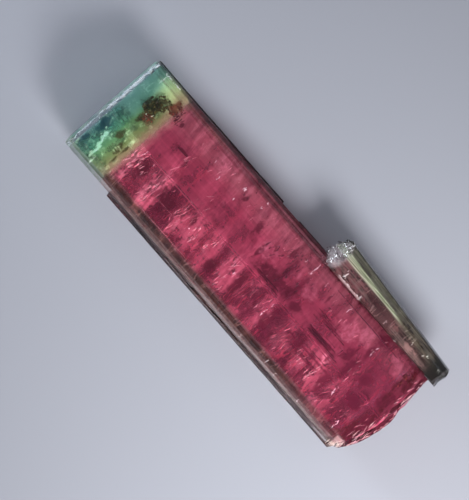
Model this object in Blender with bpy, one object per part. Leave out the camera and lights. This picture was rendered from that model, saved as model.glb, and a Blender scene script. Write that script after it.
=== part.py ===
"""Watermelon tourmaline crystal: a long striated prism with a smaller prism grown into its side.

Metres, +Z up. The crystal lies on its flat rear prism face. Its c axis runs along X, with the flat
green-capped end towards +X and the broken end towards -X. The side crystal is on the -Y side.
Everything is laid out in a crystal frame first: "across" is -Y, "up" is +Z, both measured from the
c axis, and "down" is the distance from the capped end along -X.
"""

import math

import bmesh
import bpy
from mathutils import Matrix, Vector, noise

MM = 0.001

# Main prism: each face is (azimuth in degrees from "across" towards "up", distance from the c axis).
AXIS_HEIGHT = 3.60 * MM
MAIN_LENGTH = 30.0 * MM
REST_FACE = 270.0
MAIN_FACES = [
    (0.0, 4.42 * MM),
    (42.0, 3.71 * MM),
    (60.0, 3.05 * MM),
    (120.0, 3.44 * MM),
    (138.0, 3.828 * MM),
    (170.0, 4.18 * MM),
    (180.0, 4.30 * MM),
    (240.0, 4.13 * MM),
    (REST_FACE, AXIS_HEIGHT),
    (300.0, 4.23 * MM),
]
RIM_CHAMFER = 0.18 * MM

# Growth slabs: thin parallel plates on two upright faces, (azimuth, distance, lowest, highest, from, to).
LEFT_SLAB = (180.0, 4.57 * MM, -1.75 * MM, 0.10 * MM, 4.85 * MM, MAIN_LENGTH)
RIGHT_SLAB = (0.0, 4.58 * MM, -1.85 * MM, -0.20 * MM, 0.22 * MM, 13.4 * MM)
RIGHT_LOW_SLAB = (0.0, 4.51 * MM, -1.60 * MM, -0.45 * MM, 15.2 * MM, MAIN_LENGTH)
SLAB_ROOT = 0.60 * MM
SLAB_SLOPE = 0.12 * MM

# Side prism. It stops where its inner side meets the main prism, at SIDE_ROOT across.
SIDE_CENTRE = (5.13 * MM, 0.78 * MM)
SIDE_ROOT = 3.92 * MM
SIDE_TOP = 18.60 * MM
SIDE_TOP_SLOPE = 0.45
SIDE_FOOT = 30.2 * MM
SIDE_LEAN = 4.6
SIDE_FACES = [
    (12.0, 1.27 * MM),
    (42.0, 1.21 * MM),
    (68.0, 1.23 * MM),
    (95.0, 1.24 * MM),
    (128.0, 1.28 * MM),
    (160.0, 1.30 * MM),
    (190.0, 1.28 * MM),
    (222.0, 1.30 * MM),
    (255.0, 1.26 * MM),
    (285.0, 1.26 * MM),
    (315.0, 1.30 * MM),
    (342.0, 1.29 * MM),
]

# Striations: shallow steps that run the whole length of a prism face.
STRIATION_PITCH = 0.42 * MM
STRIATION_DEPTH = 0.035 * MM

# Broken surfaces.
CUTTER_CELLS = 26
CUTTER_DEPTH = 6.0 * MM
SEED_OFFSET = Vector((3.7, 1.3, 8.1))


def face_normal(azimuth):
    return Vector((math.cos(math.radians(azimuth)), math.sin(math.radians(azimuth))))


def corner(first, second):
    """Where the lines of two prism faces meet, in the crystal frame."""
    (one, near), (two, far) = (face_normal(first[0]), first[1]), (face_normal(second[0]), second[1])
    turn = one.x * two.y - one.y * two.x
    return Vector(((near * two.y - far * one.y) / turn, (far * one.x - near * two.x) / turn))


def prism_outline(faces, smooth_faces=()):
    """The cross-section that the faces enclose, with striation steps on all but the smooth faces."""
    points = []
    for index, face in enumerate(faces):
        start = corner(faces[index - 1], face)
        end = corner(face, faces[(index + 1) % len(faces)])
        points.append(start)
        steps = int((end - start).length / STRIATION_PITCH)
        if face[0] in smooth_faces or steps < 2:
            continue
        inwards = -face_normal(face[0])
        for step in range(1, steps):
            share = (step + 0.28 * math.sin(2.7 * step + face[0])) / steps
            depth = STRIATION_DEPTH * (step % 2) * (0.6 + 0.4 * math.sin(1.9 * step + face[0]))
            points.append(start.lerp(end, share) + inwards * depth)
    return points


def slab_outline(azimuth, distance, lowest, highest):
    """A plate on an upright face, wider at its root than at its skin."""
    side = 1.0 if azimuth == 0.0 else -1.0
    root = distance - SLAB_ROOT
    corners = [
        (root, lowest - SLAB_SLOPE),
        (distance, lowest),
        (distance, highest),
        (root, highest + SLAB_SLOPE),
    ]
    return [Vector((side * across, up)) for across, up in corners]


def prism(name, outline, top, foot, collection):
    """A filled outline extruded along the c axis, as a mesh object. Its flat ends are at top and foot."""
    curve = bpy.data.curves.new(name, "CURVE")
    curve.dimensions = "2D"
    curve.fill_mode = "BOTH"
    curve.extrude = (foot - top) / 2
    spline = curve.splines.new("POLY")
    spline.points.add(len(outline) - 1)
    for point, place in zip(spline.points, outline, strict=True):
        point.co = (place.x, place.y, 0.0, 1.0)
    spline.use_cyclic_u = True
    drawn = bpy.data.objects.new(name + "_outline", curve)
    bpy.context.scene.collection.objects.link(drawn)
    bpy.context.view_layer.update()
    graph = bpy.context.evaluated_depsgraph_get()
    mesh = bpy.data.meshes.new_from_object(drawn.evaluated_get(graph))
    bpy.data.objects.remove(drawn)
    mesh.transform(crystal_frame() @ Matrix.Translation((0, 0, (top + foot) / 2)))
    shape = bmesh.new()
    shape.from_mesh(mesh)
    bmesh.ops.remove_doubles(shape, verts=shape.verts, dist=0.0001 * MM)
    bmesh.ops.recalc_face_normals(shape, faces=shape.faces)
    shape.to_mesh(mesh)
    shape.free()
    solid = bpy.data.objects.new(name, mesh)
    collection.objects.link(solid)
    return solid


def crystal_frame():
    """Takes (across, up, down) to the part's frame: across is -Y, up is +Z from the axis, down is -X."""
    return Matrix(
        (
            (0, 0, -1, MAIN_LENGTH / 2),
            (-1, 0, 0, 0),
            (0, 1, 0, AXIS_HEIGHT),
            (0, 0, 0, 1),
        )
    )


def chamfer_rim(solid):
    """Breaks the sharp rim of the capped end."""
    shape = bmesh.new()
    shape.from_mesh(solid.data)
    cap_x = MAIN_LENGTH / 2
    rim = [
        edge
        for edge in shape.edges
        if all(abs(vert.co.x - cap_x) < 0.001 * MM for vert in edge.verts)
        and any(abs(face.normal.x) < 0.5 for face in edge.link_faces)
    ]
    bmesh.ops.bevel(shape, geom=rim, offset=RIM_CHAMFER, segments=1, affect="EDGES")
    bmesh.ops.recalc_face_normals(shape, faces=shape.faces)
    shape.to_mesh(solid.data)
    shape.free()


def main_break(across, up):
    """How far down the broken end of the main prism lies: rounded in front, and shorter towards the rear."""
    off = across / MM + 0.8
    bow = (0.085 if off < 0 else 0.012) * off * off
    rear = 0.022 * (3.75 - up / MM) ** 2
    ripple = 0.16 * noise.noise(Vector((across, up, 0)) / (1.7 * MM) + SEED_OFFSET)
    shell = 0.10 * math.sin(2.3 * math.hypot(across / MM - 2.0, up / MM + 5.0))
    return MAIN_LENGTH - (bow + rear - ripple - shell + 0.12) * MM


def side_top_break(across, up):
    """The etched top of the side prism: a rough slope that faces up and away from the main prism."""
    rough = noise.noise(Vector((across, up, 0)) / (0.45 * MM) + SEED_OFFSET)
    slope = 0.16 * (across - SIDE_CENTRE[0]) + SIDE_TOP_SLOPE * (up - SIDE_CENTRE[1])
    return SIDE_TOP + slope + 0.22 * rough * MM


def side_foot_break(across, up):
    rough = noise.noise(Vector((across, up, 0)) / (0.9 * MM) - SEED_OFFSET)
    return SIDE_FOOT + (0.05 * (across - SIDE_CENTRE[0]) / MM - 0.08 * up / MM + 0.25 * rough) * MM


def break_cutter(name, surface, centre, reach, beyond, collection):
    """A block whose one side is the broken surface. It reaches beyond it by CUTTER_DEPTH, down or up."""
    shape = bmesh.new()
    bmesh.ops.create_grid(shape, x_segments=CUTTER_CELLS, y_segments=CUTTER_CELLS, size=reach)
    bmesh.ops.translate(shape, verts=shape.verts, vec=(centre[0], centre[1], 0))
    for vert in shape.verts:
        vert.co.z = surface(vert.co.x, vert.co.y)
    grown = bmesh.ops.extrude_face_region(shape, geom=shape.faces[:])
    for item in grown["geom"]:
        if isinstance(item, bmesh.types.BMVert):
            item.co.z = surface(*centre) + beyond * CUTTER_DEPTH
    bmesh.ops.recalc_face_normals(shape, faces=shape.faces)
    mesh = bpy.data.meshes.new(name)
    shape.to_mesh(mesh)
    shape.free()
    mesh.transform(crystal_frame())
    cutter = bpy.data.objects.new(name, mesh)
    cutter.hide_render = True
    cutter.display_type = "WIRE"
    collection.objects.link(cutter)
    return cutter


def boolean(solid, other, operation):
    modifier = solid.modifiers.new(operation.lower() + "_" + other.name, "BOOLEAN")
    modifier.operation = operation
    modifier.object = other
    other.hide_render = True
    other.display_type = "WIRE"


def lean_outwards(solid):
    """Turns the side prism about its foot, so that its top stands away from the main prism."""
    foot = crystal_frame() @ Vector((SIDE_CENTRE[0] - lean_shift(), SIDE_CENTRE[1], SIDE_FOOT))
    turn = Matrix.Rotation(math.radians(-SIDE_LEAN), 4, "Z")
    solid.data.transform(Matrix.Translation(foot) @ turn @ Matrix.Translation(-foot))


def cut_root(solid):
    """Cuts off the side prism's inner side, so that none of it stands over the main prism's face."""
    shape = bmesh.new()
    shape.from_mesh(solid.data)
    bmesh.ops.bisect_plane(
        shape,
        geom=shape.verts[:] + shape.edges[:] + shape.faces[:],
        dist=0.0001 * MM,
        plane_co=crystal_frame() @ Vector((SIDE_ROOT, 0, 0)),
        plane_no=(0, 1, 0),
        clear_outer=True,
    )
    rim = [edge for edge in shape.edges if edge.is_boundary]
    bmesh.ops.holes_fill(shape, edges=rim, sides=0)
    bmesh.ops.recalc_face_normals(shape, faces=shape.faces)
    shape.to_mesh(solid.data)
    shape.free()


def lean_shift():
    """How far the lean carries the side prism's top across from its foot."""
    return math.tan(math.radians(SIDE_LEAN)) * (SIDE_FOOT - SIDE_TOP)


def tourmaline_material():
    material = bpy.data.materials.new("tourmaline")
    material.use_nodes = True
    shader = material.node_tree.nodes["Principled BSDF"]
    shader.inputs["Base Color"].default_value = (0.62, 0.10, 0.22, 1.0)
    shader.inputs["Roughness"].default_value = 0.05
    shader.inputs["Metallic"].default_value = 0.0
    shader.inputs["IOR"].default_value = 1.63
    shader.inputs["Transmission Weight"].default_value = 0.6
    return material


def stand_on_origin(crystal, specimen):
    """Moves the whole specimen so that the origin is under its middle, on the surface it lies on."""
    bpy.context.view_layer.update()
    graph = bpy.context.evaluated_depsgraph_get()
    corners = [Vector(corner) for corner in crystal.evaluated_get(graph).bound_box]
    middle = sum(corners, Vector()) / len(corners)
    specimen.location = (-middle.x, -middle.y, -min(place.z for place in corners))


def new_collection(name):
    collection = bpy.data.collections.new(name)
    bpy.context.scene.collection.children.link(collection)
    return collection


def build():
    for leftover in list(bpy.data.objects):
        bpy.data.objects.remove(leftover)
    parts = new_collection("watermelon_tourmaline")
    cutters = new_collection("cutters")

    crystal = prism(
        "tourmaline_crystal",
        prism_outline(MAIN_FACES, smooth_faces=(REST_FACE,)),
        0.0,
        MAIN_LENGTH + 1.0 * MM,
        parts,
    )
    chamfer_rim(crystal)

    for name, slab in (
        ("left_slab", LEFT_SLAB),
        ("right_slab", RIGHT_SLAB),
        ("right_low_slab", RIGHT_LOW_SLAB),
    ):
        azimuth, distance, lowest, highest, top, foot = slab
        outline = slab_outline(azimuth, distance, lowest, highest)
        boolean(crystal, prism(name, outline, top, foot, cutters), "UNION")
    boolean(
        crystal,
        break_cutter("main_break", main_break, (0.0, 0.0), 6.5 * MM, 1.0, cutters),
        "DIFFERENCE",
    )

    foot_centre = Vector((SIDE_CENTRE[0] - lean_shift(), SIDE_CENTRE[1]))
    outline = [place + foot_centre for place in prism_outline(SIDE_FACES)]
    side = prism("side_crystal", outline, SIDE_TOP - 1.0 * MM, SIDE_FOOT + 1.0 * MM, cutters)
    lean_outwards(side)
    cut_root(side)
    boolean(
        side,
        break_cutter("side_top_break", side_top_break, SIDE_CENTRE, 2.4 * MM, -1.0, cutters),
        "DIFFERENCE",
    )
    boolean(
        side,
        break_cutter("side_foot_break", side_foot_break, tuple(foot_centre), 2.4 * MM, 1.0, cutters),
        "DIFFERENCE",
    )
    boolean(crystal, side, "UNION")
    crystal.data.materials.append(tourmaline_material())

    specimen = bpy.data.objects.new("specimen", None)
    parts.objects.link(specimen)
    for piece in (crystal, *cutters.objects):
        piece.parent = specimen
    stand_on_origin(crystal, specimen)


build()
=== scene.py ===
"""Watermelon tourmaline: a striated pink prism with a green cap and a paler prism grown into its side.

Lengths are metres. The c axis runs along X with the capped end at +X. "across" is -Y and "up" is +Z,
both from the c axis, and "down" is the distance from the capped end along -X.
"""
import math
import random

import bmesh
import bpy
from mathutils import Matrix, Vector, noise


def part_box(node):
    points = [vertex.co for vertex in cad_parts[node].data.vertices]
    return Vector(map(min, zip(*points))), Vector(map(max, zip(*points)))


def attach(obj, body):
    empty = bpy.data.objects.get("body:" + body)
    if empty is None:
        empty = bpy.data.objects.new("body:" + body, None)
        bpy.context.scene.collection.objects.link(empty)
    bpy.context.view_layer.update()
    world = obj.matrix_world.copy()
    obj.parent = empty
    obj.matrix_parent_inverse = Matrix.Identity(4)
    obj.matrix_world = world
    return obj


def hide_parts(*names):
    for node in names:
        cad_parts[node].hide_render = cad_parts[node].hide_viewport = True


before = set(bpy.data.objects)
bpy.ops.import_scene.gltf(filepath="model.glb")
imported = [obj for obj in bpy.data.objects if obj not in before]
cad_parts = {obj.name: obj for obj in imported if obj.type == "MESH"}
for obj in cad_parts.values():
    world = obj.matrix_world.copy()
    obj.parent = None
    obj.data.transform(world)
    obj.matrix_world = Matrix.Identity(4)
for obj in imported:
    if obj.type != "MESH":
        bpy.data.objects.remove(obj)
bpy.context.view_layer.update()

MM = 0.001
LOW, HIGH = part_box("tourmaline_crystal")

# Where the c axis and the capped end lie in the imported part.
AXIS_HEIGHT = 3.60 * MM
LEFT_REACH = 4.57 * MM
CAP_X = HIGH.x
AXIS_Y = HIGH.y - LEFT_REACH
AXIS_Z = LOW.z + AXIS_HEIGHT

# Main prism: (azimuth in degrees from "across" towards "up", distance from the c axis). Its broken end is
# bowed about BOW_MIDDLE, more so on the left of it than on the right, and its upper ridge lies at
# RIDGE_ACROSS. BOW_MIDDLE and RIDGE_ACROSS are in millimetres across.
MAIN_LENGTH = 30.0 * MM
BOW_MIDDLE = -0.8
BOW_LEFT = 0.085
BOW_RIGHT = 0.012
MAIN_FACES = [
    (0.0, 4.42 * MM),
    (42.0, 3.71 * MM),
    (60.0, 3.05 * MM),
    (120.0, 3.44 * MM),
    (138.0, 3.828 * MM),
    (170.0, 4.18 * MM),
    (180.0, 4.30 * MM),
    (240.0, 4.13 * MM),
    (270.0, AXIS_HEIGHT),
    (300.0, 4.23 * MM),
]
RIDGE_ACROSS = -0.39

# Growth slabs on the two upright faces: (name, side, distance, lowest, highest, from, to).
SLABS = [
    ("left_slab", -1.0, 4.57 * MM, -1.75 * MM, 0.10 * MM, 4.85 * MM, 31.0 * MM),
    ("right_slab", 1.0, 4.58 * MM, -1.85 * MM, -0.20 * MM, 0.22 * MM, 13.4 * MM),
    ("right_low_slab", 1.0, 4.51 * MM, -1.60 * MM, -0.45 * MM, 15.2 * MM, 31.0 * MM),
]
SLAB_ROOT = 0.60 * MM

# Where green gives way to pink, how far the two clouds reach past it, and how deep the clouds lie.
COLOUR_FRONT = 3.74 * MM
PINK_START = -0.60 * MM
GREEN_END = 0.30 * MM
PINK_INSET = 0.38 * MM
GREEN_INSET = 0.30 * MM
SIDE_INSET = 0.16 * MM

# Side prism. It stops where its inner side meets the main prism, at SIDE_ROOT across.
SIDE_CENTRE = (5.13 * MM, 0.78 * MM)
SIDE_ROOT = 3.92 * MM
SIDE_TOP = 18.60 * MM
SIDE_TOP_SLOPE = 0.45
SIDE_FOOT = 30.2 * MM
SIDE_LEAN = math.radians(4.6)
SIDE_FACES = [
    (12.0, 1.27 * MM),
    (42.0, 1.21 * MM),
    (68.0, 1.23 * MM),
    (95.0, 1.24 * MM),
    (128.0, 1.28 * MM),
    (160.0, 1.30 * MM),
    (190.0, 1.28 * MM),
    (222.0, 1.30 * MM),
    (255.0, 1.26 * MM),
    (285.0, 1.26 * MM),
    (315.0, 1.30 * MM),
    (342.0, 1.29 * MM),
]
SIDE_SHIFT = math.tan(SIDE_LEAN) * (SIDE_FOOT - SIDE_TOP)

# Fineness of the modelled surfaces, and the thickness in millimetres of a sheet of inclusions.
STRIP = 0.10 * MM
STATION = 0.24 * MM
SHEET = 0.012
TINY = 0.00001 * MM
SEED_OFFSET = Vector((3.7, 1.3, 8.1))


# ---------------------------------------------------------------- places

def place(across, up, down):
    """A point of the crystal, from its distances in metres to the axis and the capped end."""
    return Vector((CAP_X - down, AXIS_Y - across, AXIS_Z + up))


def measures(point):
    """The across, up and down of a point."""
    return AXIS_Y - point.y, point.z - AXIS_Z, CAP_X - point.x


def face_normal(azimuth):
    angle = math.radians(azimuth)
    return Vector((0.0, -math.cos(angle), math.sin(angle)))


# ---------------------------------------------------------------- modelling tools

def select_only(*pieces):
    if bpy.context.mode != "OBJECT":
        bpy.ops.object.mode_set(mode="OBJECT")
    bpy.ops.object.select_all(action="DESELECT")
    for piece in pieces:
        piece.select_set(True)
    bpy.context.view_layer.objects.active = pieces[0]


def open_up(piece, kind="FACE"):
    """Enters edit mode on the piece with all of it selected."""
    select_only(piece)
    bpy.ops.object.mode_set(mode="EDIT")
    bpy.ops.mesh.select_mode(type=kind)
    bpy.ops.mesh.select_all(action="SELECT")


def close_up():
    bpy.ops.object.mode_set(mode="OBJECT")


def pick(kind, test):
    """In edit mode, selects the edges or faces that pass the test."""
    bpy.ops.mesh.select_mode(type=kind)
    bpy.ops.mesh.select_all(action="DESELECT")
    piece = bpy.context.object
    shape = bmesh.from_edit_mesh(piece.data)
    items = shape.edges if kind == "EDGE" else shape.faces
    for item in items:
        if test(item):
            item.select_set(True)
    shape.select_flush_mode()
    bmesh.update_edit_mesh(piece.data)


def shape_points(piece, move):
    """In edit mode, puts each vertex where move sends it."""
    shape = bmesh.from_edit_mesh(piece.data)
    for vert in shape.verts:
        vert.co = move(vert.co)
    bmesh.update_edit_mesh(piece.data)


def apply_place(*pieces):
    select_only(*pieces)
    bpy.ops.object.transform_apply(location=True, rotation=True, scale=True)


def new_block(name, centre, size):
    """A box of rough, its size along X, Y and Z."""
    bpy.ops.mesh.primitive_cube_add(size=1.0, location=centre, scale=size)
    block = bpy.context.object
    block.name = name
    apply_place(block)
    return block


def use_modifier(piece, kind, **settings):
    """Adds a modifier and applies it."""
    select_only(piece)
    modifier = piece.modifiers.new(kind.title(), kind)
    for setting, value in settings.items():
        setattr(modifier, setting, value)
    bpy.ops.object.modifier_apply(modifier=modifier.name)


def combine(piece, other, operation):
    """A Boolean with the other piece, which is used up."""
    use_modifier(piece, "BOOLEAN", operation=operation, solver="MANIFOLD", object=other)
    bpy.data.objects.remove(other)


def cloth_of_noise(name, basis, depth=2):
    texture = bpy.data.textures.new(name, "CLOUDS")
    texture.noise_basis = basis
    texture.noise_scale = 1.0
    texture.noise_depth = depth
    return texture


def thicken(sheet, thickness):
    """Gives an open sheet a thickness, in millimetres."""
    use_modifier(sheet, "SOLIDIFY", thickness=thickness * MM, offset=0.0)


def roughen(piece, texture, cell, depth, group=""):
    """Displaces a piece along its normals by a texture. Its cells along X, Y and Z are in millimetres."""
    bpy.ops.object.empty_add(location=(0.0013, 0.0007, 0.0021))
    gauge = bpy.context.object
    gauge.scale = [side * MM for side in cell]
    bpy.context.view_layer.update()
    use_modifier(
        piece,
        "DISPLACE",
        texture=texture,
        texture_coords="OBJECT",
        texture_coords_object=gauge,
        strength=2.0 * (depth * MM),
        mid_level=0.5,
        vertex_group=group,
    )
    bpy.data.objects.remove(gauge)


# ---------------------------------------------------------------- the outer skin

def cut_faces(faces, axis_point, inset=0.0):
    """In edit mode, cuts the block away outside each prism face."""
    for azimuth, distance in faces:
        normal = face_normal(azimuth)
        bpy.ops.mesh.select_all(action="SELECT")
        bpy.ops.mesh.bisect(
            plane_co=axis_point + normal * (distance - inset),
            plane_no=normal,
            use_fill=True,
            clear_outer=True,
            threshold=TINY,
        )


def cut_stations(length, station):
    """In edit mode, divides the long edges into stations."""
    pick("EDGE", lambda edge: abs((edge.verts[1].co - edge.verts[0].co).normalized().x) > 0.9)
    bpy.ops.mesh.subdivide(number_cuts=max(1, round(length / station) - 1))


def cut_strips(faces, axis_point, strip, inset=0.0):
    """In edit mode, divides each prism face into strips that run its whole length."""
    for azimuth, distance in faces:
        normal = face_normal(azimuth)
        plane = axis_point + normal * (distance - inset)

        def on_face(edge):
            along = edge.verts[1].co - edge.verts[0].co
            if abs(along.normalized().x) > 0.5:
                return False
            return all(abs((vert.co - plane).dot(normal)) < 0.002 * MM for vert in edge.verts)

        pick("EDGE", on_face)
        shape = bmesh.from_edit_mesh(bpy.context.object.data)
        widths = [edge.calc_length() for edge in shape.edges if edge.select]
        if widths and max(widths) > 1.5 * strip:
            bpy.ops.mesh.subdivide(number_cuts=round(max(widths) / strip) - 1)


def prism(name, faces, centre, top, foot, strip, station, inset=0.0):
    """A prism cut from a block along its faces, as a shell of strips with closed ends."""
    axis_point = place(centre[0], centre[1], (top + foot) / 2)
    block = new_block(name, axis_point, (foot - top, 16.0 * MM, 16.0 * MM))
    open_up(block)
    cut_faces(faces, axis_point, inset)
    pick("FACE", lambda face: abs(face.normal.x) > 0.9)
    bpy.ops.mesh.delete(type="FACE")
    cut_stations(foot - top, station)
    cut_strips(faces, axis_point, strip, inset)
    pick("EDGE", lambda edge: edge.is_boundary)
    bpy.ops.mesh.edge_face_add()
    bpy.ops.mesh.select_all(action="SELECT")
    bpy.ops.mesh.normals_make_consistent(inside=False)
    close_up()
    return block


def broken_block(name, surface, centre, reach, cells, outwards):
    """A block with one broken side, the surface. It reaches past it towards -X, or +X if outwards is -1."""
    bpy.ops.mesh.primitive_grid_add(
        x_subdivisions=cells,
        y_subdivisions=cells,
        size=2.0 * reach,
        location=place(centre[0], centre[1], 0.0),
        rotation=(0.0, math.pi / 2, 0.0),
    )
    block = bpy.context.object
    block.name = name
    apply_place(block)
    open_up(block)

    def to_surface(point):
        across, up, _ = measures(point)
        return place(across, up, surface(across, up))

    shape_points(block, to_surface)
    bpy.ops.mesh.extrude_region_move(TRANSFORM_OT_translate={"value": (-outwards * 4.0 * MM, 0.0, 0.0)})
    bpy.ops.mesh.select_all(action="SELECT")
    bpy.ops.mesh.normals_make_consistent(inside=False)
    close_up()
    return block


def main_break(across, up):
    """How far down the broken end lies: rounded in front, and shorter towards the rear."""
    off = across / MM - BOW_MIDDLE
    bow = (BOW_LEFT if off < 0 else BOW_RIGHT) * off * off
    rear = 0.022 * (3.75 - up / MM) ** 2
    ripple = 0.16 * noise.noise(Vector((across, up, 0)) / (1.7 * MM) + SEED_OFFSET)
    shell = 0.10 * math.sin(2.3 * math.hypot(across / MM - 2.0, up / MM + 5.0))
    fine = 0.035 * noise.noise(Vector((across, up, 0)) / (0.35 * MM) - SEED_OFFSET)
    return MAIN_LENGTH - (bow + rear - ripple - shell - fine + 0.12) * MM


def rim_distance(across, up):
    """How far inside the prism's outline a point lies."""
    point = Vector((0.0, -across, up))
    return min(distance - point.dot(face_normal(azimuth)) for azimuth, distance in MAIN_FACES)


def cap_surface(across, up):
    """The flat capped end: low growth hillocks, and a rim chipped by up to a quarter of a millimetre."""
    spot = Vector((across, up, 0))
    hillock = 0.030 * noise.cell(spot / (0.55 * MM)) + 0.02 * noise.noise(spot / (0.30 * MM))
    chip = 0.5 + 0.5 * noise.noise(spot / (0.42 * MM) + SEED_OFFSET)
    depth = 0.08 + 0.20 * chip
    inside = max(0.0, rim_distance(across, up)) / (0.16 * MM)
    return (max(0.0, 0.02 + hillock) + depth * max(0.0, 1.0 - inside)) * MM


def side_top_break(across, up):
    """The etched top of the side prism: a rough slope that faces up and away from the main prism."""
    spot = Vector((across, up, 0))
    rough = 0.22 * noise.noise(spot / (0.50 * MM) + SEED_OFFSET)
    fine = 0.09 * noise.noise(spot / (0.19 * MM)) + 0.06 * noise.cell(spot / (0.15 * MM))
    slope = 0.16 * (across - SIDE_CENTRE[0]) + SIDE_TOP_SLOPE * (up - SIDE_CENTRE[1])
    return SIDE_TOP + slope + (rough + fine) * MM


def side_foot_break(across, up):
    """The foot of the side prism, nearly square to it."""
    rough = noise.noise(Vector((across, up, 0)) / (0.9 * MM) - SEED_OFFSET)
    return SIDE_FOOT + (0.05 * (across - SIDE_CENTRE[0]) / MM - 0.08 * up / MM + 0.25 * rough) * MM


def slab(name, side, distance, lowest, highest, top, foot):
    """A growth slab, wider at its root than at its skin, with its ends tapered in."""
    middle = place(side * (distance - SLAB_ROOT / 2), (lowest + highest) / 2, (top + foot) / 2)
    block = new_block(name, middle, (foot - top, SLAB_ROOT, highest - lowest))
    open_up(block)
    pick("FACE", lambda face: side * -face.normal.y < -0.9)
    bpy.ops.transform.resize(
        value=(1.0 + 0.3 * MM / (foot - top), 1.0, 1.0 + 0.24 * MM / (highest - lowest)),
        center_override=middle,
    )
    cut_stations(foot - top, 2.0 * STATION)
    pick("EDGE", lambda edge: abs((edge.verts[1].co - edge.verts[0].co).normalized().z) > 0.9)
    bpy.ops.mesh.subdivide(number_cuts=7)
    close_up()
    return block


def lean_outwards(piece, root):
    """Turns the side prism about its foot, so that its top stands away, and cuts off its inner side."""
    open_up(piece)
    bpy.ops.transform.rotate(
        value=SIDE_LEAN,
        orient_axis="Z",
        orient_type="GLOBAL",
        center_override=place(SIDE_CENTRE[0] - SIDE_SHIFT, SIDE_CENTRE[1], SIDE_FOOT),
    )
    bpy.ops.mesh.select_all(action="SELECT")
    bpy.ops.mesh.bisect(
        plane_co=place(root, 0.0, 0.0),
        plane_no=(0.0, 1.0, 0.0),
        use_fill=True,
        clear_outer=True,
        threshold=TINY,
    )
    close_up()


def paint_group(piece, name, weight):
    """A vertex group whose weights follow each point's place."""
    group = piece.vertex_groups.new(name=name)
    for vert in piece.data.vertices:
        group.add([vert.index], weight(vert.co), "REPLACE")


def crystal_skin():
    steps = cloth_of_noise("growth_steps", "CELL_NOISE")
    swell = cloth_of_noise("slow_swell", "BLENDER_ORIGINAL")

    skin = prism("crystal_skin", MAIN_FACES, (0.0, 0.0), -1.0 * MM, MAIN_LENGTH + 1.0 * MM, STRIP, STATION)
    paint_group(skin, "striated", lambda point: 1.0 if point.z > LOW.z + 0.05 * MM else 0.0)
    roughen(skin, steps, (13.0, 0.42, 0.42), 0.022, "striated")
    roughen(skin, steps, (5.0, 0.17, 0.17), 0.008, "striated")
    roughen(skin, swell, (3.5, 2.0, 2.0), 0.010, "striated")
    for name, side, distance, lowest, highest, top, foot in SLABS:
        plate = slab(name, side, distance, lowest, highest, top, foot)
        roughen(plate, swell, (1.6, 1.0, 1.0), 0.035)
        combine(skin, plate, "UNION")
    combine(skin, broken_block("cap_cut", cap_surface, (0.0, 0.0), 5.2 * MM, 140, -1.0), "DIFFERENCE")
    combine(skin, broken_block("main_cut", main_break, (0.0, 0.0), 5.6 * MM, 100, 1.0), "DIFFERENCE")

    foot_centre = (SIDE_CENTRE[0] - SIDE_SHIFT, SIDE_CENTRE[1])
    top = SIDE_TOP - 1.0 * MM
    side = prism("side_prism", SIDE_FACES, foot_centre, top, SIDE_FOOT + 1.0 * MM, STRIP, 2.0 * STATION)
    roughen(side, steps, (7.0, 0.20, 0.20), 0.012)
    lean_outwards(side, SIDE_ROOT)
    combine(side, broken_block("foot_cut", side_foot_break, foot_centre, 2.2 * MM, 40, 1.0), "DIFFERENCE")
    combine(side, broken_block("top_cut", side_top_break, SIDE_CENTRE, 2.2 * MM, 72, -1.0), "DIFFERENCE")
    combine(skin, side, "UNION")
    skin.vertex_groups.clear()
    select_only(skin)
    bpy.ops.object.shade_smooth_by_angle(angle=math.radians(9.0))
    return skin


# ---------------------------------------------------------------- what is sealed inside

def at(across, up, down):
    """A point from its distances in millimetres."""
    return place(across * MM, up * MM, down * MM)


def roof(across, faces=MAIN_FACES, centre=(0.0, 0.0)):
    """How far above the c axis, in millimetres, the upper faces lie."""
    heights = []
    for azimuth, distance in faces:
        angle = math.radians(azimuth)
        if math.sin(angle) > 0.1:
            off = across - centre[0] / MM
            heights.append((distance / MM - off * math.cos(angle)) / math.sin(angle))
    return centre[1] / MM + min(heights)


def side_roof(across, down):
    """The same for the side prism."""
    drift = math.tan(SIDE_LEAN) * (down * MM - SIDE_TOP)
    return roof(across, SIDE_FACES, (SIDE_CENTRE[0] - drift, SIDE_CENTRE[1]))


def edge_across(first, second):
    """Where, in millimetres, the edge between two of the main faces lies."""
    near_angle, near = MAIN_FACES[first]
    far_angle, far = MAIN_FACES[second]
    one = math.radians(near_angle)
    two = math.radians(far_angle)
    return (near * math.sin(two) - far * math.sin(one)) / math.sin(two - one) / MM


def colour_front(across, up):
    """How far down green gives way to pink."""
    spot = Vector((across, up, 0))
    swell = 0.34 * noise.noise(spot / (1.1 * MM)) + 0.30 * noise.noise(spot / (0.42 * MM) + SEED_OFFSET)
    return COLOUR_FRONT + swell * MM


def pink_start(across, up):
    return colour_front(across, up) + PINK_START


def green_end(across, up):
    return colour_front(across, up) + GREEN_END


def pink_foot(across, up):
    return main_break(across, up) - 0.40 * MM


def side_clouds_top(across, up):
    return side_top_break(across, up) + 0.16 * MM


def trim_to_prism(inset, faces=MAIN_FACES, centre=(0.0, 0.0)):
    """In edit mode, cuts an open sheet off where it would pass a prism face, less the inset."""
    axis_point = place(centre[0], centre[1], 0.0)
    for azimuth, distance in faces:
        normal = face_normal(azimuth)
        cut_side(axis_point + normal * (distance - inset), normal)


def cut_side(point, normal):
    """In edit mode, cuts away what lies on the normal's side of the point."""
    bpy.ops.mesh.select_all(action="SELECT")
    bpy.ops.mesh.bisect(
        plane_co=point, plane_no=normal, use_fill=False, clear_outer=True, threshold=TINY
    )


def join(name, pieces):
    """Applies each piece's place and makes them one."""
    apply_place(*pieces)
    bpy.ops.object.join()
    joined = bpy.context.object
    joined.name = name
    return joined


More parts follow.
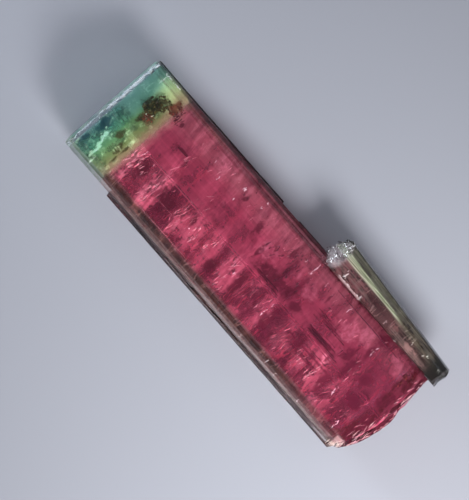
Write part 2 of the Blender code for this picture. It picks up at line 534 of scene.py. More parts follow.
def turn_piece(axis, degrees, centre):
    """In edit mode, turns what is selected about a point."""
    bpy.ops.transform.rotate(
        value=math.radians(degrees), orient_axis=axis, orient_type="GLOBAL", center_override=centre
    )


def inner_prism(name, faces, centre, top, foot, inset, strip, station, wave):
    """A closed prism just inside the skin, gently uneven, for the clouds below the faces."""
    inner = prism(name, faces, centre, top, foot, strip * MM, station * MM, inset)
    roughen(inner, WAVES, (1.6, 0.9, 0.9), wave)
    return inner


def pink_clouds():
    middle = (0.0, 0.0)
    foot = MAIN_LENGTH + 1.0 * MM
    inner = inner_prism("pink_clouds", MAIN_FACES, middle, 3.0 * MM, foot, PINK_INSET, 0.25, 0.32, 0.07)
    combine(inner, broken_block("front_cut", pink_start, middle, 5.6 * MM, 80, -1.0), "DIFFERENCE")
    combine(inner, broken_block("inner_cut", pink_foot, middle, 5.6 * MM, 80, 1.0), "DIFFERENCE")
    return inner


def green_clouds():
    middle = (0.0, 0.0)
    inner = inner_prism(
        "green_clouds", MAIN_FACES, middle, 0.50 * MM, 4.6 * MM, GREEN_INSET, 0.20, 0.2, 0.08
    )
    combine(inner, broken_block("end_cut", green_end, middle, 5.6 * MM, 80, 1.0), "DIFFERENCE")
    return inner


def olive_clouds():
    middle = (SIDE_CENTRE[0] - SIDE_SHIFT, SIDE_CENTRE[1])
    top = SIDE_TOP - 1.0 * MM
    foot = SIDE_FOOT - 0.4 * MM
    inner = inner_prism("olive_clouds", SIDE_FACES, middle, top, foot, SIDE_INSET, 0.15, 0.4, 0.04)
    lean_outwards(inner, SIDE_ROOT + 0.14 * MM)
    top_cut = broken_block("inner_top_cut", side_clouds_top, SIDE_CENTRE, 2.2 * MM, 50, -1.0)
    combine(inner, top_cut, "DIFFERENCE")
    return inner


def crack_sheet(down, across, reach, tilt, turn, side):
    """A thin wavy crack across the prism, tilted from square. side keeps one half: -1 left, 1 right."""
    centre = at(across, 0.3, down)
    bpy.ops.mesh.primitive_grid_add(
        x_subdivisions=44,
        y_subdivisions=44,
        size=2.0 * reach * MM,
        location=centre,
        rotation=(0.0, math.pi / 2, 0.0),
    )
    sheet = bpy.context.object
    apply_place(sheet)
    open_up(sheet)
    turn_piece("Y", tilt, centre)
    turn_piece("Z", turn, centre)
    close_up()
    roughen(sheet, WAVES, (1.9, 1.3, 1.3), 0.22)
    roughen(sheet, CRUMPLE, (0.8, 0.55, 0.55), 0.11)
    open_up(sheet)
    trim_to_prism(0.35 * MM)
    if side:
        cut_side(at(RIDGE_ACROSS, 0.0, 0.0), Vector((0.0, -1.0 if side < 0 else 1.0, 0.0)))
    close_up()
    thicken(sheet, SHEET)
    return sheet


def curtain(up, top, foot, wave):
    """A wavy sheet of fine inclusions that lies along the prism at a level."""
    length = foot - top
    bpy.ops.mesh.primitive_grid_add(
        x_subdivisions=110,
        y_subdivisions=36,
        size=1.0,
        location=at(0.0, up, (top + foot) / 2),
    )
    sheet = bpy.context.object
    sheet.scale = (length * MM, 9.0 * MM, 1.0)
    apply_place(sheet)
    roughen(sheet, WAVES, (2.6, 1.5, 1.5), wave)
    roughen(sheet, WAVES, (0.6, 0.5, 0.5), 0.2 * wave)
    open_up(sheet)
    trim_to_prism(0.55 * MM)
    close_up()
    thicken(sheet, SHEET)
    return sheet


def sliver_blank():
    """A small pointed blade, 1 mm long across and 1 mm high down the prism, to be copied."""
    bpy.ops.mesh.primitive_grid_add(x_subdivisions=2, y_subdivisions=12, size=MM, location=(0.0, 0.0, 0.0))
    blank = bpy.context.object
    open_up(blank)

    def taper(point):
        share = min(1.0, abs(point.y) / (0.5 * MM))
        return Vector((point.x * (1.0 - share ** 2.2) + 0.02 * point.x, point.y, point.z))

    shape_points(blank, taper)
    close_up()
    return blank


def copy_piece(piece, location, rotation, size):
    twin = piece.copy()
    twin.data = piece.data.copy()
    bpy.context.scene.collection.objects.link(twin)
    twin.location = location
    twin.rotation_euler = rotation
    twin.scale = size
    return twin


def deepest(across):
    """How far down, in millimetres, the stone reaches below a point of its upper faces."""
    return main_break(across * MM, roof(across) * MM) / MM


def blades(name, blank, beds, seed):
    """Beds of small cracks, which are listed by the layout that BRIGHT_BEDS gives."""
    chance = random.Random(seed)
    copies = []
    for top, foot, start, end, shallow, deep, count, longest, highest in beds:
        for _ in range(count):
            across = chance.uniform(start, end)
            depth = chance.uniform(shallow, deep)
            down = min(chance.uniform(top, foot), deepest(across) - 0.45)
            steep = math.radians(chance.uniform(18.0, 62.0)) * chance.choice((-1, 1))
            yaw = math.radians(chance.gauss(-8.0, 9.0))
            turned = (math.radians(chance.gauss(0.0, 8.0)), steep, yaw)
            size = (highest * chance.uniform(0.25, 1.0), longest * chance.uniform(0.3, 1.0), 1.0)
            copies.append(copy_piece(blank, at(across, roof(across) - depth, down), turned, size))
    bed = join(name, copies)
    roughen(bed, WAVES, (0.7, 0.38, 0.38), 0.10)
    open_up(bed)
    trim_to_prism(0.10 * MM)
    close_up()
    thicken(bed, 0.010)
    return bed


def chip_blank():
    """A tiny bent flake, 1 mm across and 1 mm high, to be copied."""
    bpy.ops.mesh.primitive_grid_add(x_subdivisions=2, y_subdivisions=4, size=MM, location=(0.0, 0.0, 0.0))
    blank = bpy.context.object
    open_up(blank)

    def bend_point(point):
        share = point.y / (0.5 * MM)
        narrow = 1.0 - 0.7 * share * share
        return Vector((point.x * narrow + 0.15 * MM * share, point.y, 0.18 * MM * share * share))

    shape_points(blank, bend_point)
    close_up()
    thicken(blank, 0.10)
    return blank


def along_break(runs, chance):
    """Spots for flakes along the front of a broken surface, which are listed by the layout RIM_RUNS gives.

    least and most are how far below the surface they lie, and depth how deep under the upper faces.
    """
    spots = []
    for surface, start, end, least, most, depth, count, longest, highest in runs:
        for _ in range(count):
            across = chance.uniform(start, end)
            up = roof(across) - chance.uniform(0.5, 1.5) * depth
            down = surface(across * MM, up * MM) / MM + chance.uniform(least, most)
            spots.append((across, up, down, 14.0, longest, highest))
    return spots


def over_side_top(count, chance):
    """Spots for flakes all over the etched top of the side prism."""
    spots = []
    for _ in range(count):
        angle = chance.uniform(0.0, math.tau)
        far = 1.10 * math.sqrt(chance.random())
        across = max(SIDE_ROOT / MM + 0.05, SIDE_CENTRE[0] / MM + far * math.cos(angle))
        up = SIDE_CENTRE[1] / MM + far * math.sin(angle)
        down = side_top_break(across * MM, up * MM) / MM + chance.uniform(0.01, 0.10)
        spots.append((across, up, down, 50.0, 0.40, 0.05))
    return spots


def near_points(points, chance):
    """Spots for a few flakes at each point, which are listed by the layout that GLINTS gives."""
    spots = []
    for across, down, wide, high, count in points:
        for _ in range(count):
            one = across + chance.uniform(-wide, wide)
            two = down + chance.uniform(-high, high)
            beside = one > SIDE_ROOT / MM and two > SIDE_TOP / MM - 0.5
            top = side_roof(one, two) if beside else roof(one)
            up = top - chance.uniform(0.04, 0.10)
            spots.append((one, up, two, 22.0, 0.9 * wide + 0.05, 0.05 + 0.2 * high))
    return spots


def flakes(name, blank, spots, chance, lean=0.0):
    """Copies the flake to each spot: (across, up, down, unrest in degrees, longest, highest).

    lean turns them, in degrees, towards the capped end.
    """
    copies = []
    for across, up, down, unrest, longest, highest in spots:
        lie = 30.0 if across > RIDGE_ACROSS else -30.0
        turns = [(lie, unrest), (lean, 1.6 * unrest), (0.0, 0.7 * unrest)]
        turned = tuple(math.radians(chance.gauss(middle, spread)) for middle, spread in turns)
        size = (highest * chance.uniform(0.4, 1.0), longest * chance.uniform(0.25, 1.0), highest)
        copies.append(copy_piece(blank, at(across, up, down), turned, size))
    return join(name, copies)


def grain_blank():
    """A rough little grain, 1 mm across, to be copied."""
    bpy.ops.mesh.primitive_ico_sphere_add(subdivisions=2, radius=0.5 * MM, location=(0.0, 0.0, 0.0))
    blank = bpy.context.object
    roughen(blank, cloth_of_noise("grain_facets", "VORONOI_F1", 0), (0.45, 0.45, 0.45), 0.10)
    return blank


def grains(name, blank, nests, seed):
    """Nests of grains, which are listed by the layout that BROWN_NESTS gives."""
    chance = random.Random(seed)
    copies = []
    for across, down, shallow, deep, wide, high, count, size in nests:
        for _ in range(count):
            angle = chance.uniform(0.0, math.tau)
            far = math.sqrt(chance.random())
            one = across + wide * far * math.cos(angle)
            two = down + high * far * math.sin(angle)
            where = at(one, roof(one) - chance.uniform(shallow, deep), two)
            big = size * chance.uniform(0.35, 1.0)
            stretch = (big * chance.uniform(0.6, 1.2), big * chance.uniform(0.6, 1.4), big * 0.7)
            spin = tuple(chance.uniform(0.0, math.tau) for _ in range(3))
            copies.append(copy_piece(blank, where, spin, stretch))
    return join(name, copies)


def tubes(name, beds, seed, wave=0.012):
    """Hair-thin threads along the prism, which are listed by the layout that TUBE_BEDS gives."""
    bpy.ops.mesh.primitive_cylinder_add(
        vertices=6,
        radius=1.0 * MM,
        depth=1.0 * MM,
        location=(0.0, 0.0, 0.0),
        rotation=(0.0, math.pi / 2, 0.0),
    )
    blank = bpy.context.object
    apply_place(blank)
    open_up(blank)
    cut_stations(1.0, 1.0 / 8)
    close_up()
    chance = random.Random(seed)
    copies = []
    for across, spread, top, foot, depth, count, radius in beds:
        for _ in range(count):
            one = across + chance.uniform(-spread, spread)
            last = min(foot, deepest(one) - 0.3)
            length = (last - top) * chance.uniform(0.25, 0.8)
            middle = chance.uniform(top + length / 2, last - length / 2)
            where = at(one, roof(one) - depth * chance.uniform(0.4, 1.3), middle)
            thick = radius * chance.uniform(0.5, 1.2)
            copies.append(copy_piece(blank, where, (0.0, 0.0, 0.0), (length, thick, thick)))
    bpy.data.objects.remove(blank)
    bundle = join(name, copies)
    if wave:
        roughen(bundle, WAVES, (1.4, 0.7, 0.7), wave)
    return bundle


# ---------------------------------------------------------------- shader tools

def add_node(tree, kind, fill=None, **settings):
    """Adds a shader node, sets its properties, and fills its sockets with values or links."""
    made = tree.nodes.new("ShaderNode" + kind)
    for key, value in settings.items():
        setattr(made, key, value)
    for key, value in (fill or {}).items():
        if isinstance(value, bpy.types.NodeSocket):
            tree.links.new(value, made.inputs[key])
        else:
            made.inputs[key].default_value = value
    return made


def mixed(tree, factor, first, second):
    """The mix of two colours."""
    made = tree.nodes.new("ShaderNodeMix")
    made.data_type = "RGBA"
    for index, value in ((0, factor), (6, first), (7, second)):
        if isinstance(value, bpy.types.NodeSocket):
            tree.links.new(value, made.inputs[index])
        elif index == 0:
            made.inputs[index].default_value = value
        else:
            made.inputs[index].default_value = (*value, 1.0)
    return made.outputs[2]


def maths(tree, operation, first, second=0.0, clamp=False):
    return add_node(tree, "Math", {0: first, 1: second}, operation=operation, use_clamp=clamp).outputs[0]


def plus(tree, first, second, clamp=False):
    return maths(tree, "ADD", first, second, clamp)


def minus(tree, first, second):
    return maths(tree, "SUBTRACT", first, second)


def larger(tree, first, second):
    return maths(tree, "MAXIMUM", first, second)


def product(tree, *factors):
    total = factors[0]
    for factor in factors[1:]:
        total = maths(tree, "MULTIPLY", total, factor)
    return total


def vectors(tree, operation, first, second):
    """A sum, difference or product of two vectors."""
    return add_node(tree, "VectorMath", {0: first, 1: second}, operation=operation).outputs[0]


def scaled(tree, vector, factor):
    return add_node(tree, "VectorMath", {0: vector, "Scale": factor}, operation="SCALE").outputs[0]


def fade(tree, value, start, end, low=0.0, high=1.0):
    """Goes smoothly from low to high as the value goes from start to end."""
    fill = {"Value": value, "From Min": start, "From Max": end, "To Min": low, "To Max": high}
    return add_node(tree, "MapRange", fill, interpolation_type="SMOOTHSTEP").outputs[0]


def between(tree, value, start, end, soft):
    """1 where the value lies between start and end, with soft sides."""
    rise = fade(tree, value, start - soft, start + soft)
    return product(tree, rise, fade(tree, value, end - soft, end + soft, 1.0, 0.0))


def clouds(tree, vector, scale, detail=3.0, roughness=0.55, offset=0.0):
    """Noise whose cells are 1/scale millimetres along down, across and up."""
    moved = vectors(tree, "MULTIPLY", vector, scale)
    if offset:
        moved = vectors(tree, "ADD", moved, (offset, 2.0 * offset, -offset))
    fill = {"Vector": moved, "Scale": 1.0, "Detail": detail, "Roughness": roughness}
    return add_node(tree, "TexNoise", fill).outputs[0]


def ramp(tree, factor, stops):
    made = add_node(tree, "ValToRGB", {"Fac": factor})
    ladder = made.color_ramp
    while len(ladder.elements) < len(stops):
        ladder.elements.new(0.5)
    for element, (position, colour) in zip(ladder.elements, stops, strict=True):
        element.position = position
        element.color = (*colour, 1.0)
    return made.outputs[0]


def new_group(name, inputs, outputs):
    """A shader node group. Inputs are (name, kind, default) and outputs are (name, kind)."""
    tree = bpy.data.node_groups.new(name, "ShaderNodeTree")
    for label, kind, default in inputs:
        socket = tree.interface.new_socket(label, in_out="INPUT", socket_type="NodeSocket" + kind)
        if default is not None:
            socket.default_value = default
    for label, kind in outputs:
        tree.interface.new_socket(label, in_out="OUTPUT", socket_type="NodeSocket" + kind)
    return tree, tree.nodes.new("NodeGroupInput").outputs, tree.nodes.new("NodeGroupOutput").inputs


def use_group(tree, group, fill):
    made = tree.nodes.new("ShaderNodeGroup")
    made.node_tree = group
    for key, value in fill.items():
        if isinstance(value, bpy.types.NodeSocket):
            tree.links.new(value, made.inputs[key])
        else:
            made.inputs[key].default_value = value
    return made.outputs


def new_material(name):
    material = bpy.data.materials.new(name)
    material.use_nodes = True
    tree = material.node_tree
    return material, tree, tree.nodes["Principled BSDF"], tree.nodes["Material Output"]


def ruler(tree):
    """(down, across, up) in millimetres from the capped end and the c axis, from Object coordinates."""
    fill = {
        "Vector": add_node(tree, "TexCoord").outputs["Object"],
        "Scale": (-1.0 / MM, -1.0 / MM, 1.0 / MM),
        "Location": (CAP_X / MM, AXIS_Y / MM, -AXIS_Z / MM),
    }
    return add_node(tree, "Mapping", fill).outputs[0]


def split(tree, vector):
    """The three numbers of a vector: down, across and up, if it is the ruler's."""
    return add_node(tree, "SeparateXYZ", {"Vector": vector}).outputs


# ---------------------------------------------------------------- shared effects

def make_growth_zones():
    """Body colour down the prism: teal and green cap, yellow-green fringe, then pink."""
    tree, given, out = new_group(
        "growth_zones",
        [("Place", "Vector", None), ("Wander", "Float", 0.5)],
        [("Colour", "Color"), ("Pink", "Float")],
    )
    down, across, _ = split(tree, given["Place"])
    wave = minus(tree, clouds(tree, given["Place"], (1.4, 1.1, 1.1), 4.0, 0.65), 0.5)
    level = plus(tree, down, product(tree, wave, given["Wander"]))
    cap = ramp(
        tree,
        maths(tree, "DIVIDE", plus(tree, level, product(tree, across, 0.07)), 5.0),
        [
            (0.00, (0.86, 0.88, 0.94)),
            (0.09, (0.70, 0.80, 0.84)),
            (0.15, (0.36, 0.66, 0.66)),
            (0.34, (0.36, 0.70, 0.60)),
            (0.44, (0.46, 0.78, 0.50)),
            (0.58, (0.66, 0.82, 0.46)),
            (0.74, (0.80, 0.80, 0.50)),
        ],
    )
    pink = fade(tree, level, 3.56, 3.90)
    patches = fade(tree, clouds(tree, given["Place"], (0.55, 0.8, 0.8), 4.0), 0.42, 0.66)
    body = mixed(tree, product(tree, patches, 0.5), (0.93, 0.50, 0.66), (0.84, 0.34, 0.52))
    tree.links.new(mixed(tree, pink, cap, body), out["Colour"])
    tree.links.new(pink, out["Pink"])
    return tree


def make_striae():
    """Fine lines that run the whole length of the prism faces."""
    tree, given, out = new_group(
        "striae",
        [("Place", "Vector", None), ("Fineness", "Float", 1.0)],
        [("Height", "Float"), ("Lines", "Float")],
    )
    along = scaled(tree, given["Place"], given["Fineness"])
    wide = clouds(tree, along, (0.035, 2.6, 2.6), 2.0)
    thin = clouds(tree, along, (0.06, 11.0, 11.0), 2.0, offset=3.3)
    tree.links.new(plus(tree, wide, product(tree, thin, 0.45)), out["Height"])
    tree.links.new(fade(tree, thin, 0.56, 0.70), out["Lines"])
    return tree


def make_wisps():
    """Broken streaks that run across the prism, as healed cracks show edge-on."""
    tree, given, out = new_group(
        "wisps",
        [("Place", "Vector", None), ("Closeness", "Float", 1.0), ("Cover", "Float", 0.5)],
        [("Mask", "Float"), ("Glint", "Float")],
    )
    along = scaled(tree, given["Place"], given["Closeness"])
    drift = add_node(tree, "TexNoise", {"Vector": along, "Scale": 0.7}).outputs[1]
    bent = vectors(tree, "ADD", along, vectors(tree, "MULTIPLY", drift, (0.9, 0.0, 0.0)))
    streaks = clouds(tree, bent, (5.0, 0.55, 1.2), 4.0, 0.6)
    edge = minus(tree, 0.72, product(tree, given["Cover"], 0.4))
    tree.links.new(fade(tree, minus(tree, streaks, edge), -0.04, 0.10), out["Mask"])
    fine = clouds(tree, bent, (16.0, 1.2, 3.0), 3.0, offset=5.1)
    tree.links.new(fade(tree, fine, 0.58, 0.70), out["Glint"])
    return tree


def make_painted_crest_lines():
    """Hair-thin wavy lines of painted highlight, where the crests of crumpled inner cracks would catch the
    light.
    """
    tree, given, out = new_group(
        "painted_crest_lines",
        [
            ("Place", "Vector", None),
            ("Fineness", "Float", 1.0),
            ("Width", "Float", 0.03),
            ("Cover", "Float", 0.5),
        ],
        [("Mask", "Float")],
    )
    along = scaled(tree, given["Place"], given["Fineness"])
    crumple = clouds(tree, along, (1.9, 0.14, 0.5), 1.6, 0.50)
    crest = maths(tree, "ABSOLUTE", minus(tree, crumple, 0.5))
    thin = fade(tree, maths(tree, "DIVIDE", crest, given["Width"]), 1.0, 0.3)
    patches = clouds(tree, along, (0.9, 0.45, 0.45), 3.0, offset=7.7)
    edge = minus(tree, 0.70, product(tree, given["Cover"], 0.4))
    shown = fade(tree, minus(tree, patches, edge), -0.04, 0.14)
    tree.links.new(product(tree, thin, shown), out["Mask"])
    return tree


def make_rhythm():
    """How strongly the healed fissures glow, level by level down the prism."""
    tree, given, out = new_group(
        "rhythm",
        [("Place", "Vector", None), ("Wander", "Float", 1.0)],
        [("Glow", "Float"), ("Shade", "Float")],
    )
    down, across, _ = split(tree, given["Place"])
    wave = minus(tree, clouds(tree, given["Place"], (0.7, 0.55, 0.55), 4.0, 0.6), 0.5)
    level = plus(tree, down, product(tree, wave, given["Wander"]))
    level = plus(tree, level, product(tree, across, 0.08))
    glow = ramp(
        tree,
        maths(tree, "DIVIDE", level, MAIN_LENGTH / MM),
        [(depth * MM / MAIN_LENGTH, (strength, strength, strength)) for depth, strength in RHYTHM],
    )
    tree.links.new(glow, out["Glow"])
    tree.links.new(fade(tree, glow, 0.40, 0.05), out["Shade"])
    return tree


# ---------------------------------------------------------------- parts of materials

def painted_crest_lines(tree, place, fineness, width, cover):
    """Where painted highlights mark the crests of crumpled cracks."""
    fill = {"Place": place, "Fineness": fineness, "Width": width, "Cover": cover}
    return use_group(tree, PAINTED_CREST_LINE_GROUP, fill)["Mask"]


def ragged_ovals(tree, spot, nests, ragged):
    """1 in the nests, which are ragged ovals (across, down, half width, half height), and 0 outside them."""
    fray = minus(tree, clouds(tree, spot, (2.2, 1.6, 1.6), 4.0, 0.65, offset=9.1), 0.5)
    fray = product(tree, fray, ragged)
    whole = 0.0
    for across, down, wide, high in nests:
        off = vectors(tree, "SUBTRACT", spot, (down, across, 0.0))
        off = vectors(tree, "MULTIPLY", off, (1.0 / high, 1.0 / wide, 0.0))
        far = add_node(tree, "VectorMath", {0: off}, operation="LENGTH").outputs["Value"]
        near = fade(tree, plus(tree, far, fray), 1.30, 0.55)
        whole = larger(tree, near, whole)
    return whole


def light_passes(tree, surface, output, colour):
    """Lets the lamps' light through clear stone, which they would not pass by themselves."""
    clear = add_node(tree, "BsdfTransparent", {"Color": (*colour, 1.0)})
    shadow = add_node(tree, "LightPath").outputs["Is Shadow Ray"]
    both = add_node(tree, "MixShader", {0: shadow, 1: surface, 2: clear.outputs[0]})
    tree.links.new(both.outputs[0], output.inputs["Surface"])


def absorb(tree, output, colour, density):
    """Fills the piece with a tint that deepens with its thickness."""
    depth = add_node(tree, "VolumeAbsorption", {"Color": (*colour, 1.0), "Density": density})
    tree.links.new(depth.outputs[0], output.inputs["Volume"])


def raise_relief(tree, shader, height, strength, distance):
    """Makes the surface uneven by the height, up to a distance in millimetres."""
    bump = add_node(tree, "Bump", {"Height": height, "Strength": strength, "Distance": distance * MM})
    tree.links.new(bump.outputs[0], shader.inputs["Normal"])


def ragged_end(tree, spot, start, end):
    """Goes from 0 to 1 down the prism, from start to end, with a ragged front."""
    fray = product(tree, clouds(tree, spot, (2.6, 1.6, 1.6), 4.0, 0.65, offset=2.2), 0.8)
    return fade(tree, plus(tree, split(tree, spot)[0], fray), start, end)


def finish_clouds(tree, shader, output, colour, alpha, tint, density):
    """Connects a cloud's colour and cover, and fills it with its tint."""
    tree.links.new(colour, shader.inputs["Base Color"])
    tree.links.new(alpha, shader.inputs["Alpha"])
    shader.inputs["Roughness"].default_value = 0.5
    shader.inputs["IOR"].default_value = 1.20
    absorb(tree, output, tint, density)


def rind_colour(tree, spot, colour, pink):
    """Tints the narrow faces at the sides: olive-brown, grey-beige and dark red down their length, and paints
    dark outlines of shade along the outermost left and right edges.
    """
    down, across, _ = split(tree, spot)
    left = product(tree, across, -1.0)
    grain = fade(tree, clouds(tree, spot, (2.2, 3.0, 3.0), 4.0, 0.65), 0.35, 0.65)
    lines = fade(tree, clouds(tree, spot, (9.0, 0.5, 0.5), 3.0, 0.6), 0.52, 0.68)
    olive = mixed(tree, grain, (0.08, 0.040, 0.036), (0.28, 0.16, 0.13))
    olive = mixed(tree, product(tree, lines, 0.6), olive, (0.80, 0.62, 0.54))
    in_cap = mixed(tree, pink, (0.62, 0.74, 0.60), olive)
    face = product(tree, fade(tree, left, 3.24, 3.60), fade(tree, left, 3.99, 4.05, 1.0, 0.0))
    colour = mixed(tree, product(tree, face, fade(tree, down, 22.0, 28.0, 0.92, 0.55)), colour, in_cap)
    grey = mixed(tree, pink, (0.84, 0.90, 0.86), (0.94, 0.87, 0.82))
    colour = mixed(tree, product(tree, fade(tree, left, 3.99, 4.05), 0.95), colour, grey)
    # Painted shade: a dark purple-red outline along the outermost left edge.
    rim = fade(tree, minus(tree, left, fade(tree, down, 9.0, 14.0, 4.34, 4.49)), 0.0, 0.05)
    outline_shade = mixed(tree, fade(tree, down, 7.0, 7.5), (0.20, 0.03, 0.05), (0.10, 0.06, 0.08))
    colour = mixed(tree, product(tree, rim, 0.9), colour, outline_shade)
    red = product(tree, between(tree, across, 3.78, 4.06, 0.04), fade(tree, down, 8.5, 12.0))
    red = product(tree, red, fade(tree, grain, 0.0, 1.0, 1.0, 0.75), fade(tree, down, 21.5, 24.5, 1.0, 0.3))
    colour = mixed(tree, product(tree, red, 0.96), colour, (0.05, 0.003, 0.008))
    brown = product(tree, fade(tree, across, 3.78, 3.95), fade(tree, down, 9.5, 7.0), pink)
    colour = mixed(tree, product(tree, brown, 0.8), colour, (0.30, 0.20, 0.14))
    # Painted shade: a dark grey outline along the outermost right edge.
    edge = fade(tree, minus(tree, across, fade(tree, down, 3.2, 3.8, 4.34, 4.08)), 0.0, 0.08)
    return mixed(tree, product(tree, edge, 0.92), colour, (0.22, 0.17, 0.18))


def side_mask(tree, spot):
    """1 on the side prism."""
    down, across, _ = split(tree, spot)
    return product(tree, fade(tree, across, 3.88, 3.94), fade(tree, down, 17.7, 18.2))


def side_across(tree, spot):
    """How far across, in millimetres, from the middle of the leaning side prism."""
    down, across, _ = split(tree, spot)
    shift = product(tree, minus(tree, down, SIDE_TOP / MM), math.tan(SIDE_LEAN))
    return minus(tree, plus(tree, across, shift), SIDE_CENTRE[0] / MM)


# ---------------------------------------------------------------- materials

def skin_material():
    """The clear stone itself, tinted by its growth zones."""
    material, tree, shader, output = new_material("tourmaline_skin")
    spot = ruler(tree)
    down, _, up = split(tree, spot)
    zones = use_group(tree, ZONES, {"Place": spot})
    lines = use_group(tree, STRIAE, {"Place": spot})
    colour = rind_colour(tree, spot, zones["Colour"], zones["Pink"])
    beside = side_mask(tree, spot)
    off = side_across(tree, spot)
    olive = mixed(tree, fade(tree, off, 0.1, 0.5), (0.62, 0.46, 0.46), (0.60, 0.62, 0.50))
    olive = mixed(tree, fade(tree, off, 1.12, 1.20), olive, (0.14, 0.14, 0.16))
    olive = mixed(tree, fade(tree, down, 28.4, 29.6, 0.0, 0.85), olive, (0.10, 0.10, 0.09))
    colour = mixed(tree, beside, colour, olive)
    frost = fade(tree, down, 0.34, 0.12)
    slope = minus(tree, down, product(tree, up, SIDE_TOP_SLOPE))
    crest = product(tree, beside, fade(tree, slope, 18.75, 18.45))
    facets = fade(tree, clouds(tree, spot, (3.6, 3.6, 3.6), 3.0, 0.6, offset=2.9), 0.44, 0.56)
    frosted = mixed(tree, facets, (0.48, 0.44, 0.47), (1.0, 1.0, 1.0))
    tree.links.new(mixed(tree, crest, colour, frosted), shader.inputs["Base Color"])
    frost = larger(tree, frost, product(tree, crest, 0.35))
    rough = plus(tree, product(tree, lines["Lines"], 0.05), 0.03)
    rough = plus(tree, rough, product(tree, frost, 0.30))
    tree.links.new(rough, shader.inputs["Roughness"])
    raise_relief(tree, shader, lines["Height"], 0.30, 0.03)
    shader.inputs["IOR"].default_value = 1.63
    shader.inputs["Transmission Weight"].default_value = 1.0
    absorb(tree, output, (0.80, 0.84, 0.78), 60.0)
    light_passes(tree, shader.outputs[0], output, (0.97, 0.94, 0.95))
    return material


